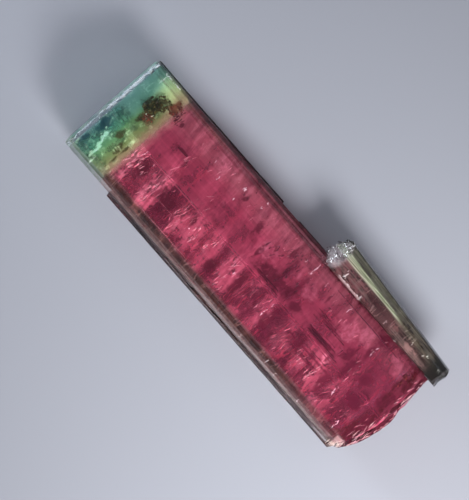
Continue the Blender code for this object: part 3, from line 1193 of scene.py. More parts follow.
def body_cloud_material():
    """Clouds of healed fissures under the pink faces: streaked on the left in front, softer on the right,
    with a pale haze painted in where the right face reflects light.
    """
    material, tree, shader, output = new_material("pink_clouds")
    spot = ruler(tree)
    down, across, up = split(tree, spot)
    rhythm = use_group(tree, RHYTHM_GROUP, {"Place": spot, "Wander": 1.35})
    wisps = use_group(tree, WISPS, {"Place": spot, "Closeness": 0.8, "Cover": 0.55})
    painted_crest_glints = painted_crest_lines(tree, spot, 1.3, 0.040, 0.50)
    lean = {0: spot, 1: (1.0, 0.16, 0.0)}
    slant = add_node(tree, "VectorMath", lean, operation="DOT_PRODUCT").outputs["Value"]
    tilted = add_node(tree, "CombineXYZ", {0: slant, 1: across, 2: up}).outputs[0]
    soft = fade(tree, clouds(tree, tilted, (2.4, 0.30, 0.5), 4.0, 0.58, offset=4.4), 0.40, 0.62)
    lines = use_group(tree, STRIAE, {"Place": spot, "Fineness": 0.8})
    right = fade(tree, across, RIDGE_ACROSS - 0.03, RIDGE_ACROSS + 0.03)
    streaky = fade(tree, right, 0.0, 1.0, 1.0, 0.22)
    far_right = fade(tree, across, 1.4, 3.2)
    dark = fade(tree, clouds(tree, spot, (0.75, 0.60, 0.60), 5.0, 0.62, offset=1.7), 0.46, 0.58)
    shade = product(tree, larger(tree, dark, rhythm["Shade"]), streaky)
    glow = product(tree, rhythm["Glow"], fade(tree, soft, 0.0, 1.0, 0.45, 1.0))
    # The plain colour is lighter on the right face: partly its own tone, partly painted haze of the light
    # that face reflects.
    plain = mixed(tree, right, (0.42, 0.070, 0.135), (0.51, 0.093, 0.168))
    coral = mixed(tree, product(tree, glow, streaky), plain, (0.96, 0.29, 0.38))
    colour = mixed(tree, product(tree, shade, 0.80), coral, (0.13, 0.014, 0.040))
    # Painted highlights: pale pink crest lines, stronger where the fissures glow and towards the ridge.
    bright = product(tree, painted_crest_glints, fade(tree, rhythm["Glow"], 0.1, 0.7, 0.15, 1.0), streaky)
    bright = product(tree, bright, fade(tree, across, -2.9, -1.7, 0.3, 1.0))
    colour = mixed(tree, product(tree, bright, 0.55), colour, (1.0, 0.55, 0.62))
    # Painted reflection: towards the right edge the colour turns a pale dusty pink, the haze of light the
    # right face reflects.
    painted_haze = mixed(tree, soft, (0.42, 0.17, 0.19), (0.66, 0.31, 0.34))
    colour = mixed(tree, product(tree, far_right, 0.62), colour, painted_haze)
    haze = clouds(tree, tilted, (1.3, 0.5, 0.5), 5.0, 0.62, offset=6.6)
    hazy = product(tree, right, fade(tree, haze, 0.46, 0.64, 0.0, 0.50))
    colour = mixed(tree, hazy, colour, (0.18, 0.025, 0.06))
    fine = fade(tree, lines["Height"], 0.55, 0.85, -0.09, 0.09)
    value = add_node(tree, "HueSaturation", {"Value": plus(tree, 1.0, fine), "Color": colour})
    deep = ragged_ovals(tree, spot, DARK_PATCHES, 2.4)
    colour = mixed(tree, product(tree, deep, 0.84), value.outputs[0], (0.07, 0.005, 0.018))
    lowest = product(tree, fade(tree, down, 24.0, 26.5), fade(tree, right, 0.0, 1.0, 0.06, 0.22))
    lower = plus(tree, fade(tree, down, 15.0, 20.0, 0.0, 0.30), lowest)
    colour = mixed(tree, lower, colour, (0.14, 0.016, 0.045))
    off = plus(tree, across, -BOW_MIDDLE)
    bow = product(tree, off, off, fade(tree, off, -0.05, 0.05, BOW_LEFT, BOW_RIGHT))
    near = minus(tree, minus(tree, MAIN_LENGTH / MM, bow), down)
    flecked = fade(tree, clouds(tree, spot, (3.6, 2.6, 2.6), 5.0, 0.7, offset=3.1), 0.40, 0.58)
    murky = product(tree, between(tree, near, 0.60, 1.7, 0.2), fade(tree, soft, 0.2, 0.8, 0.95, 0.45))
    murky = product(tree, murky, fade(tree, flecked, 0.0, 1.0, 1.0, 0.45))
    colour = mixed(tree, murky, colour, (0.07, 0.010, 0.014))
    ledge = product(tree, fade(tree, near, 0.60, 0.40), fade(tree, soft, 0.0, 1.0, 0.4, 1.0))
    colour = mixed(tree, ledge, colour, (0.95, 0.22, 0.34))
    glowing = product(tree, ragged_ovals(tree, spot, LIGHT_PATCHES, 2.4), fade(tree, haze, 0.60, 0.40, 0.2, 1.0))
    glowing = product(tree, glowing, fade(tree, flecked, 0.0, 1.0, 0.35, 1.0))
    colour = mixed(tree, product(tree, glowing, 0.50), colour, (0.90, 0.36, 0.46))
    start = minus(tree, down, product(tree, clouds(tree, spot, (2.0, 1.2, 1.2), 4.0, 0.65), 1.2))
    sandy = product(tree, fade(tree, start, 3.85, 3.15), fade(tree, soft, 0.0, 1.0, 0.85, 0.4))
    colour = mixed(tree, sandy, colour, (0.66, 0.40, 0.33))
    left = product(tree, across, -1.0)
    murk = fade(tree, clouds(tree, spot, (1.8, 2.4, 2.4), 4.0, 0.65, offset=5.5), 0.35, 0.65)
    olive = mixed(tree, murk, (0.035, 0.017, 0.015), (0.11, 0.060, 0.045))
    banded = product(tree, rhythm["Glow"], fade(tree, soft, 0.0, 1.0, 0.1, 0.45))
    olive = mixed(tree, banded, olive, (0.55, 0.28, 0.24))
    # Painted highlights: paler crest lines on the olive band.
    olive = mixed(tree, product(tree, painted_crest_glints, 0.7), olive, (0.55, 0.36, 0.32))
    band = product(tree, fade(tree, left, 2.98, 3.35), fade(tree, down, 21.0, 27.0, 1.0, 0.6))
    colour = mixed(tree, product(tree, band, 0.92), colour, olive)
    # Painted reflection: the far left strip turns pale grey-beige, as its steep face mirrors the bright
    # surroundings.
    grey = mixed(tree, murk, (0.36, 0.27, 0.27), (0.52, 0.42, 0.40))
    colour = mixed(tree, fade(tree, left, 3.62, 3.70), colour, grey)
    corner = product(tree, fade(tree, left, 3.15, 3.40), fade(tree, down, 28.2, 28.4))
    colour = mixed(tree, corner, colour, (0.90, 0.76, 0.68))
    alpha = plus(tree, fade(tree, right, 0.0, 1.0, 0.52, 0.62), product(tree, glow, 0.22))
    alpha = plus(tree, alpha, plus(tree, corner, product(tree, plus(tree, murky, deep), 0.35)))
    alpha = plus(tree, alpha, product(tree, band, 0.35))
    alpha = plus(tree, alpha, product(tree, bright, 0.3), clamp=True)
    alpha = product(tree, alpha, ragged_end(tree, spot, 3.62, 3.95))
    raise_relief(tree, shader, plus(tree, wisps["Mask"], product(tree, painted_crest_glints, 0.6)), 0.5, 0.05)
    finish_clouds(tree, shader, output, colour, alpha, (0.88, 0.12, 0.40), 130.0)
    return material


def cap_cloud_material():
    """Clouds under the capped faces: teal, then green and an olive fringe, with jagged cracks painted pale
    along their crests as highlights.
    """
    material, tree, shader, output = new_material("green_clouds")
    spot = ruler(tree)
    down, across, _ = split(tree, spot)
    wave = minus(tree, clouds(tree, spot, (1.0, 0.9, 0.9), 5.0, 0.6), 0.5)
    level = plus(tree, down, product(tree, wave, 1.5))
    level = plus(tree, level, product(tree, fade(tree, across, 1.5, 3.8), 0.5))
    tint = ramp(
        tree,
        maths(tree, "DIVIDE", level, 4.0),
        [
            (0.06, (0.42, 0.46, 0.56)),
            (0.16, (0.13, 0.31, 0.29)),
            (0.36, (0.15, 0.36, 0.26)),
            (0.52, (0.30, 0.52, 0.29)),
            (0.74, (0.42, 0.48, 0.25)),
            (0.90, (0.52, 0.42, 0.28)),
        ],
    )
    dark = fade(tree, clouds(tree, spot, (1.2, 0.8, 0.8), 5.0, 0.62, offset=2.6), 0.50, 0.66)
    tint = mixed(tree, product(tree, dark, 0.75), tint, (0.04, 0.075, 0.055))
    pale = fade(tree, clouds(tree, spot, (1.9, 1.1, 1.1), 5.0, 0.66, offset=6.2), 0.50, 0.72)
    tint = mixed(tree, product(tree, pale, 0.7), tint, (0.66, 0.82, 0.60))
    yellow = product(tree, fade(tree, across, 1.7, 3.6), fade(tree, level, 1.3, 2.3))
    tint = mixed(tree, product(tree, yellow, 0.8), tint, (0.78, 0.82, 0.58))
    milky = product(tree, fade(tree, across, -0.3, 0.6), fade(tree, level, 2.4, 1.6))
    tint = mixed(tree, product(tree, milky, 0.6), tint, (0.42, 0.62, 0.56))
    fringe = fade(tree, level, 3.15, 3.70)
    sand = clouds(tree, spot, (4.0, 0.9, 0.9), 4.0, 0.6)
    beige = mixed(tree, sand, (0.28, 0.21, 0.15), (0.72, 0.56, 0.44))
    tint = mixed(tree, product(tree, fringe, 0.85), tint, beige)
    # Painted shade: darker patches in the cap.
    shadowed = ragged_ovals(tree, spot, SHADOWS, 2.6)
    tint = mixed(tree, product(tree, shadowed, 0.45), tint, (0.05, 0.11, 0.085))
    blue = ragged_ovals(tree, spot, BLUE_PATCHES, 2.2)
    tint = mixed(tree, product(tree, blue, 0.92), tint, (0.012, 0.045, 0.065))
    brown = ragged_ovals(tree, spot, BROWN_SMUDGES, 3.0)
    tint = mixed(tree, product(tree, brown, 0.92), tint, (0.055, 0.034, 0.014))
    rust = ragged_ovals(tree, spot, RUST_SMUDGES, 1.8)
    tint = mixed(tree, product(tree, rust, 0.85), tint, (0.21, 0.035, 0.032))
    square = vectors(tree, "MULTIPLY", spot, (0.5, 3.0, 1.0))
    painted_crest_glints = painted_crest_lines(tree, square, 1.2, 0.06, 0.42)
    left = fade(tree, across, RIDGE_ACROSS - 0.03, RIDGE_ACROSS + 0.03, 1.0, 0.45)
    left = plus(tree, left, fade(tree, across, 2.2, 2.8, 0.0, 0.5))
    # Painted highlights: pale green crest lines along the jagged cracks.
    jagged = product(tree, painted_crest_glints, fade(tree, down, 0.9, 1.3), left)
    tint = mixed(tree, product(tree, jagged, 0.85), tint, (0.78, 0.88, 0.66))
    shards = ragged_ovals(tree, spot, SHARDS, 3.4)
    tint = mixed(tree, product(tree, shards, 0.75), tint, (0.74, 0.90, 0.74))
    tint = mixed(tree, fade(tree, across, -3.62, -3.70), tint, (0.42, 0.50, 0.44))
    alpha = plus(tree, product(tree, dark, 0.2), product(tree, pale, 0.25))
    alpha = plus(tree, alpha, product(tree, larger(tree, brown, blue), 0.4))
    alpha = plus(tree, alpha, product(tree, larger(tree, larger(tree, jagged, shards), yellow), 0.4))
    alpha = plus(tree, alpha, 0.50, clamp=True)
    alpha = product(tree, alpha, ragged_end(tree, spot, 4.45, 4.00))
    raise_relief(tree, shader, plus(tree, pale, painted_crest_glints), 0.5, 0.05)
    finish_clouds(tree, shader, output, tint, alpha, (0.42, 0.78, 0.60), 110.0)
    return material


def side_cloud_material():
    """Clouds in the side prism: brownish pink at the main prism, a painted pale reflection stripe, olive
    outside, a dark foot.
    """
    material, tree, shader, output = new_material("olive_clouds")
    spot = ruler(tree)
    down, across, up = split(tree, spot)
    off = side_across(tree, spot)
    tint = mixed(tree, fade(tree, off, 0.25, 0.55), (0.205, 0.085, 0.098), (0.15, 0.15, 0.115))
    foot = fade(tree, down, 23.0, 27.0)
    tint = mixed(tree, product(tree, foot, 0.75), tint, (0.145, 0.095, 0.078))
    mottle = fade(tree, clouds(tree, spot, (1.1, 1.9, 1.9), 5.0, 0.68), 0.42, 0.58)
    tint = mixed(tree, product(tree, mottle, 0.85), tint, (0.030, 0.014, 0.014))
    ribs = fade(tree, clouds(tree, spot, (0.15, 9.0, 9.0), 3.0, 0.65, offset=1.3), 0.42, 0.60)
    tint = mixed(tree, product(tree, ribs, fade(tree, off, 0.6, 0.9, 0.22, 0.6)), tint, (0.42, 0.39, 0.35))
    painted_crest_glints = painted_crest_lines(tree, spot, 1.6, 0.03, 0.40)
    # Painted highlights: pale crest lines in the side prism.
    tint = mixed(tree, product(tree, painted_crest_glints, 0.5), tint, (0.75, 0.64, 0.60))
    # Painted reflection: a pale stripe down the side prism where its face mirrors the light.
    inner = minus(tree, off, fade(tree, down, 19.5, 25.0, 0.16, 0.42))
    reflection_stripe = product(tree, fade(tree, inner, -0.02, 0.02), fade(tree, off, 0.60, 0.66, 1.0, 0.0))
    reflection_stripe = product(tree, reflection_stripe, fade(tree, down, 25.5, 24.5))
    slope = minus(tree, down, product(tree, up, SIDE_TOP_SLOPE))
    tint = mixed(tree, fade(tree, slope, 18.7, 18.3, 0.0, 0.5), tint, (0.62, 0.58, 0.60))
    shadow = product(tree, between(tree, down, 22.3, 25.0, 0.3), fade(tree, off, 0.5, 0.2))
    smoky = ragged_ovals(tree, spot, [(4.62, 23.4, 0.25, 0.9)], 1.6)
    shadow = larger(tree, product(tree, shadow, 0.6), smoky)
    tint = mixed(tree, product(tree, shadow, 0.85), tint, (0.05, 0.016, 0.020))
    pale = mixed(tree, ribs, (0.20, 0.23, 0.15), (0.60, 0.62, 0.52))
    tint = mixed(tree, product(tree, reflection_stripe, 0.92), tint, pale)
    glint = product(tree, fade(tree, across, 4.14, 4.10), between(tree, down, 19.9, 22.1, 0.15))
    tint = mixed(tree, glint, tint, (0.95, 0.82, 0.82))
    cream = ragged_ovals(tree, spot, [(4.25, 27.3, 0.35, 1.0)], 1.6)
    cream = product(tree, cream, fade(tree, mottle, 0.0, 1.0, 0.55, 0.1))
    tint = mixed(tree, cream, tint, (0.60, 0.40, 0.38))
    tint = mixed(tree, fade(tree, down, 28.2, 29.2, 0.0, 0.9), tint, (0.022, 0.022, 0.018))
    alpha = plus(tree, product(tree, mottle, 0.10), product(tree, painted_crest_glints, 0.2))
    alpha = plus(tree, alpha, product(tree, reflection_stripe, 0.2))
    alpha = plus(tree, alpha, 0.74, clamp=True)
    finish_clouds(tree, shader, output, tint, alpha, (0.55, 0.50, 0.36), 330.0)
    return material


def crack_material(name, low, high):
    """Healed cracks: wispy and see-through, with painted highlights along their crests and in fine glints."""
    material, tree, shader, _ = new_material(name)
    spot = ruler(tree)
    wisps = use_group(tree, WISPS, {"Place": spot, "Cover": 0.6, "Closeness": 1.4})
    painted_crest_glints = painted_crest_lines(tree, spot, 1.5, 0.03, 0.4)
    bright = larger(tree, painted_crest_glints, product(tree, wisps["Glint"], 0.5))
    tree.links.new(mixed(tree, bright, low, high), shader.inputs["Base Color"])
    alpha = plus(tree, product(tree, wisps["Mask"], 0.45), 0.03)
    alpha = plus(tree, alpha, product(tree, bright, 0.4), clamp=True)
    tree.links.new(alpha, shader.inputs["Alpha"])
    shader.inputs["Roughness"].default_value = 0.28
    return material


def curtain_material():
    """Deep sheets of fine inclusions: dark magenta patches with coral rifts between them."""
    material, tree, shader, _ = new_material("deep_curtains")
    spot = ruler(tree)
    patch = fade(tree, clouds(tree, spot, (0.75, 0.65, 0.65), 5.0, 0.62, offset=8.2), 0.47, 0.58)
    rift = fade(tree, clouds(tree, spot, (2.6, 0.45, 0.45), 4.0, 0.62, offset=3.1), 0.54, 0.64)
    colour = mixed(tree, rift, (0.16, 0.015, 0.055), (0.95, 0.20, 0.28))
    tree.links.new(colour, shader.inputs["Base Color"])
    alpha = larger(tree, product(tree, patch, 0.55), product(tree, rift, 0.75))
    tree.links.new(alpha, shader.inputs["Alpha"])
    shader.inputs["Roughness"].default_value = 0.5
    return material


def mottled_material(name, dark, light, size, roughness, least=1.0, most=1.0):
    """An uneven stony finish. Its cover goes from least in its light spots to most in its dark ones."""
    material, tree, shader, _ = new_material(name)
    spot = ruler(tree)
    mottle = fade(tree, clouds(tree, spot, (size, size, size), 4.0, 0.65), 0.38, 0.62)
    tree.links.new(mixed(tree, mottle, dark, light), shader.inputs["Base Color"])
    tree.links.new(fade(tree, mottle, 0.0, 1.0, roughness, roughness + 0.2), shader.inputs["Roughness"])
    if least < 1.0:
        tree.links.new(fade(tree, mottle, 0.0, 1.0, most, least), shader.inputs["Alpha"])
    return material


# ---------------------------------------------------------------- the pieces

def show(piece, material):
    """Gives a finished piece its material and its body."""
    piece.data.materials.clear()
    piece.data.materials.append(material)
    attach(piece, "root")


# How strongly the inside glows at each level: (down in mm, strength).
RHYTHM = [
    (3.8, 0.45),
    (4.3, 0.75),
    (4.9, 0.10),
    (5.9, 0.25),
    (6.3, 1.00),
    (6.9, 1.00),
    (7.4, 0.00),
    (8.6, 0.05),
    (9.2, 0.52),
    (9.9, 0.30),
    (10.9, 0.52),
    (11.7, 0.15),
    (12.6, 0.45),
    (13.4, 0.05),
    (14.6, 0.68),
    (15.5, 0.10),
    (16.7, 0.35),
    (17.3, 0.10),
    (18.1, 0.45),
    (19.0, 0.00),
    (20.5, 0.40),
    (21.6, 0.05),
    (22.5, 0.45),
    (23.7, 0.70),
    (24.8, 0.15),
    (25.6, 0.45),
    (26.6, 0.10),
    (27.6, 0.25),
    (28.7, 0.05),
    (29.4, 0.30),
]
# Darker patches under the faces: (across, down, half width, half height), in mm.
DARK_PATCHES = [
    (0.40, 17.3, 0.65, 1.9),
    (1.55, 17.3, 0.95, 0.24),
    (2.65, 16.6, 0.55, 0.16),
    (2.60, 4.65, 0.22, 0.15),
    (1.10, 14.9, 1.00, 0.22),
    (1.00, 18.65, 1.05, 0.30),
    (-0.05, 16.3, 0.16, 1.10),
    (0.60, 16.5, 0.40, 0.40),
    (0.20, 19.5, 0.42, 0.55),
    (2.55, 20.65, 0.55, 0.10),
    (0.30, 25.2, 0.90, 0.40),
    (1.90, 25.4, 0.90, 0.22),
    (1.90, 13.6, 0.80, 0.30),
    (2.65, 11.5, 0.34, 0.20),
    (2.55, 28.85, 0.62, 0.46),
    (-1.40, 5.2, 0.80, 0.50),
    (-1.60, 8.0, 1.10, 0.75),
    (-1.00, 10.2, 0.50, 0.28),
    (-2.20, 13.4, 0.70, 0.45),
    (-1.70, 15.6, 1.20, 0.40),
    (-1.60, 18.9, 1.20, 0.40),
    (-1.00, 21.6, 0.60, 0.38),
    (-1.80, 24.7, 1.00, 0.32),
    (1.45, 6.0, 0.12, 0.60),
    (-1.08, 23.0, 0.09, 2.60),
    (-1.60, 22.3, 0.16, 1.20),
    (0.00, 22.3, 0.26, 1.50),
    (1.13, 22.3, 0.08, 1.80),
    (0.50, 26.6, 0.55, 0.50),
    (-0.90, 27.2, 0.65, 0.80),
    (-2.30, 28.75, 1.00, 0.45),
    (-1.30, 28.85, 0.80, 0.45),
    (0.55, 28.70, 0.80, 0.48),
    (0.70, 24.5, 0.60, 0.42),
    (1.50, 24.7, 0.40, 0.09),
    (3.30, 25.4, 0.50, 0.50),
]
# Hazy bright patches under the faces, in the same measures.
LIGHT_PATCHES = [
    (2.55, 27.9, 0.50, 0.34),
    (2.95, 27.3, 0.34, 0.60),
    (2.05, 23.2, 0.85, 0.95),
    (2.60, 24.4, 0.75, 0.60),
    (1.75, 19.4, 0.60, 0.60),
    (1.85, 17.95, 0.45, 0.45),
    (1.50, 15.4, 0.70, 0.75),
    (3.00, 8.8, 0.60, 0.80),
    (-2.20, 20.5, 0.75, 0.40),
    (-2.10, 22.6, 0.60, 0.35),
    (-3.00, 25.2, 0.40, 0.40),
    (-1.20, 4.20, 0.80, 0.30),
    (-1.90, 6.55, 1.60, 0.42),
]
# Brown and rust-red smudges in the cap, which the grains fill, in the same measures.
BROWN_SMUDGES = [
    (1.95, 2.20, 0.72, 0.62),
    (2.65, 2.70, 0.60, 0.60),
    (0.80, 2.30, 0.45, 0.28),
    (-1.00, 2.25, 0.45, 0.22),
    (-1.75, 2.95, 0.55, 0.24),
    (-1.20, 3.30, 0.60, 0.12),
    (-2.30, 3.25, 0.40, 0.10),
]
RUST_SMUDGES = [
    (1.15, 2.72, 0.50, 0.50),
    (3.05, 3.45, 0.68, 0.36),
]
# Shadowed and blue patches and pale jagged shards in the cap, in the same measures.
SHADOWS = [
    (0.15, 1.35, 0.55, 0.55),
    (-3.10, 1.00, 0.60, 0.45),
    (-1.60, 2.60, 0.90, 0.25),
]
BLUE_PATCHES = [
    (-1.15, 0.98, 0.78, 0.40),
    (-2.90, 0.75, 0.50, 0.20),
]
SHARDS = [
    (-2.95, 1.95, 0.45, 0.10),
    (-2.30, 1.75, 0.40, 0.14),
    (-1.70, 1.58, 0.35, 0.16),
    (-3.60, 2.30, 0.45, 0.05),
]

WAVES = cloth_of_noise("waves", "BLENDER_ORIGINAL")
CRUMPLE = cloth_of_noise("crumple", "VORONOI_F2_F1", 1)
ZONES = make_growth_zones()
STRIAE = make_striae()
WISPS = make_wisps()
PAINTED_CREST_LINE_GROUP = make_painted_crest_lines()
RHYTHM_GROUP = make_rhythm()

skin = crystal_skin()
show(skin, skin_material())
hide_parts("tourmaline_crystal")

show(pink_clouds(), body_cloud_material())
show(green_clouds(), cap_cloud_material())
show(olive_clouds(), side_cloud_material())

# Cracks right across the prism: (down, across, reach, tilt, turn, side).
CRACKS = [
    (4.4, -1.2, 3.4, 24, -10, -1),
    (5.4, -1.6, 3.2, -18, 8, -1),
    (6.5, 0.0, 5.5, 14, 2, 0),
    (7.7, -1.7, 3.0, 26, -6, -1),
    (9.25, -0.8, 4.6, 18, 3, 0),
    (9.95, -1.7, 3.4, -16, -5, -1),
    (10.95, -1.4, 3.2, 24, 6, -1),
    (12.4, -1.6, 3.0, -28, 4, -1),
    (14.4, -1.3, 4.2, 20, -3, -1),
    (15.0, 0.9, 3.6, 30, 14, 1),
    (16.4, -1.5, 3.0, -22, 5, -1),
    (17.4, 1.8, 3.0, 12, 2, 1),
    (18.2, 0.0, 5.5, 13, 1, 0),
    (20.5, -1.4, 4.0, 22, 4, -1),
    (22.5, -1.6, 3.8, -20, -4, -1),
    (23.7, -1.3, 3.8, 24, 3, -1),
    (25.6, 0.1, 5.5, 10, -2, 0),
]
healed = join("healed_cracks", [crack_sheet(*crack) for crack in CRACKS])
# The second, pale colour is the painted highlight on the cracks.
show(healed, crack_material("healed_crack", (0.72, 0.13, 0.19), (1.0, 0.55, 0.56)))

curtains = join("deep_curtains", [curtain(0.9, 4.6, 28.8, 0.5), curtain(-1.3, 4.6, 28.0, 0.7)])
show(curtains, curtain_material())

blade = sliver_blank()
# Beds of bright slivers, small cracks whose pale colour is painted in for the light they mirror: (top, foot,
# from, to, least depth, most depth, count, longest, highest), in mm.
BRIGHT_BEDS = [
    (3.80, 4.70, -1.9, -0.5, 0.15, 0.45, 24, 1.0, 0.15),
    (4.60, 5.60, -1.6, -0.6, 0.20, 0.60, 9, 0.8, 0.08),
    (6.00, 6.80, -3.1, -0.5, 0.20, 0.60, 20, 1.8, 0.07),
    (6.50, 6.90, -0.2, 1.4, 0.20, 0.60, 8, 1.2, 0.05),
    (8.90, 9.60, -3.1, -0.5, 0.20, 0.60, 12, 1.8, 0.06),
    (9.70, 10.40, -2.0, 1.2, 0.20, 0.60, 9, 1.1, 0.04),
    (10.6, 11.3, -2.3, -0.5, 0.20, 0.60, 14, 0.9, 0.12),
    (12.0, 13.1, -1.8, -0.5, 0.20, 0.60, 12, 0.6, 0.08),
    (14.0, 15.1, -3.0, -0.6, 0.20, 0.60, 13, 1.3, 0.08),
    (16.1, 17.0, -2.0, -0.6, 0.20, 0.60, 7, 0.6, 0.07),
    (17.6, 18.5, -1.9, -0.7, 0.20, 0.60, 9, 0.8, 0.07),
    (20.0, 21.0, -3.0, -0.6, 0.20, 0.60, 8, 1.2, 0.06),
    (22.0, 22.9, -2.6, -0.9, 0.20, 0.60, 9, 1.0, 0.08),
    (23.3, 24.0, -2.4, -0.6, 0.20, 0.60, 12, 1.0, 0.09),
    (25.3, 25.8, -3.0, 1.0, 0.20, 0.60, 12, 0.8, 0.05),
    (27.0, 28.4, -3.0, -1.0, 0.20, 0.60, 5, 0.6, 0.05),
    (28.7, 28.9, -2.7, -1.2, 0.10, 0.35, 5, 1.1, 0.04),
    (29.3, 29.7, -2.8, 3.2, 0.10, 0.35, 26, 0.8, 0.07),
    (4.50, 28.0, 1.6, 3.6, 0.15, 0.60, 36, 0.5, 0.05),
    (4.50, 28.5, -3.1, -0.5, 0.20, 1.20, 30, 0.9, 0.04),
]
bright = blades("slivers_with_painted_glint", blade, BRIGHT_BEDS, 11)
# Painted highlight: the slivers' coral to pale pink colour stands in for their glints.
finish = mottled_material("fissure_with_painted_glint", (0.88, 0.30, 0.37), (1.0, 0.74, 0.74), 3.0, 0.25, 0.25, 0.90)
show(bright, finish)

# Beds of dark slivers, in the same measures.
DARK_BEDS = [
    (3.95, 4.12, 2.50, 3.45, 0.06, 0.20, 12, 0.9, 0.10),
    (4.25, 4.45, 2.30, 2.90, 0.06, 0.20, 5, 0.6, 0.10),
    (6.75, 6.90, -3.0, 1.2, 0.15, 0.35, 14, 1.4, 0.05),
    (4.50, 5.40, -2.2, -0.6, 0.20, 0.60, 10, 0.9, 0.14),
    (14.6, 15.8, 0.2, 2.2, 0.20, 0.80, 10, 1.3, 0.12),
    (16.2, 16.7, 1.5, 2.6, 0.06, 0.25, 8, 0.7, 0.10),
    (17.1, 17.4, 0.6, 2.4, 0.06, 0.25, 14, 1.0, 0.14),
    (16.6, 17.9, 0.0, 3.0, 0.20, 0.80, 12, 1.2, 0.12),
    (18.4, 18.9, -0.1, 2.0, 0.20, 0.80, 10, 1.0, 0.12),
    (11.0, 28.0, 1.6, 3.5, 0.15, 0.60, 30, 0.6, 0.06),
    (4.50, 28.5, -3.0, -0.5, 0.20, 1.00, 40, 0.9, 0.08),
]
shade = blades("dark_slivers", blade, DARK_BEDS, 23)
finish = mottled_material("dark_fissure", (0.05, 0.004, 0.015), (0.20, 0.02, 0.06), 3.0, 0.35, 0.35, 0.85)
show(shade, finish)
bpy.data.objects.remove(blade)

# Beds of threads along the prism: (across, spread, top, foot, depth, count, radius), in mm.
TUBE_BEDS = [
    (-1.1, 0.55, 20.0, 24.6, 0.40, 8, 0.030),
    (0.2, 0.50, 20.6, 24.4, 0.40, 8, 0.035),
    (1.1, 0.30, 20.4, 24.0, 0.40, 4, 0.030),
    (0.0, 0.35, 15.2, 18.5, 0.40, 6, 0.045),
    (0.1, 0.40, 26.6, 28.2, 0.40, 5, 0.028),
    (1.45, 0.06, 5.6, 6.6, 0.40, 3, 0.032),
    (3.30, 0.03, 19.9, 28.0, 0.12, 7, 0.022),
]
hairs = tubes("growth_tubes", TUBE_BEDS, 31)
finish = mottled_material("tube_walls", (0.06, 0.005, 0.02), (0.22, 0.03, 0.07), 1.2, 0.35, 0.35, 0.8)
show(hairs, finish)

# Painted highlights: pale threads along the edges of the prism faces, in the same measures.
LEFT_EDGE = edge_across(3, 4)
FAR_LEFT_EDGE = edge_across(4, 5)
RIGHT_EDGE = edge_across(1, 2)
EDGE_BEDS = [
    (LEFT_EDGE, 0.030, 5.5, 14.0, 0.045, 5, 0.009),
    (LEFT_EDGE, 0.020, 1.0, 4.0, 0.045, 3, 0.010),
    (-2.01, 0.030, 4.0, 14.0, 0.045, 5, 0.006),
    (-2.01, 0.030, 14.0, 28.5, 0.045, 4, 0.005),
    (RIDGE_ACROSS, 0.030, 0.5, 14.0, 0.060, 3, 0.004),
    (FAR_LEFT_EDGE, 0.020, 1.0, 28.6, 0.045, 6, 0.007),
    (RIGHT_EDGE, 0.020, 0.6, 4.0, 0.045, 4, 0.007),
]
edge_highlights = tubes("painted_edge_highlights", EDGE_BEDS, 37, 0.0)
# Painted highlight: the threads' pale pink colour stands for light caught along the edges.
finish = mottled_material("edge_highlight_paint", (0.70, 0.30, 0.34), (0.90, 0.58, 0.58), 2.0, 0.4, 0.10, 0.42)
show(edge_highlights, finish)

chip = chip_blank()
# Flakes on the rim of the cap: (surface, from, to, least, most, depth, count, longest, highest), in mm.
RIM_RUNS = [
    (cap_surface, -4.15, 4.25, 0.03, 0.10, 0.03, 170, 0.26, 0.035),
    (cap_surface, -0.3, 4.25, 0.10, 0.16, 0.03, 190, 0.60, 0.065),
    (cap_surface, -4.2, 4.2, 0.05, 0.40, 0.10, 60, 0.16, 0.040),
]
chance = random.Random(53)
rim = flakes("rim_flakes", chip, along_break(RIM_RUNS, chance), chance, 38.0)
finish = mottled_material("white_flakes", (0.74, 0.79, 0.85), (0.98, 0.99, 1.00), 5.0, 0.3)
show(rim, finish)

# Flakes on the rim of the broken base, in the same measures.
BASE_RUNS = [
    (main_break, -4.15, -3.5, -0.70, -0.10, 0.04, 40, 0.80, 0.05),
    (main_break, -3.4, 3.6, -0.14, -0.04, 0.05, 60, 0.50, 0.030),
    (main_break, -2.9, -0.6, -0.75, -0.15, 0.08, 16, 0.80, 0.025),
]
base = flakes("base_flakes", chip, along_break(BASE_RUNS, chance), chance)
finish = mottled_material("cream_flakes", (0.84, 0.62, 0.56), (0.96, 0.87, 0.80), 2.0, 0.35)
show(base, finish)

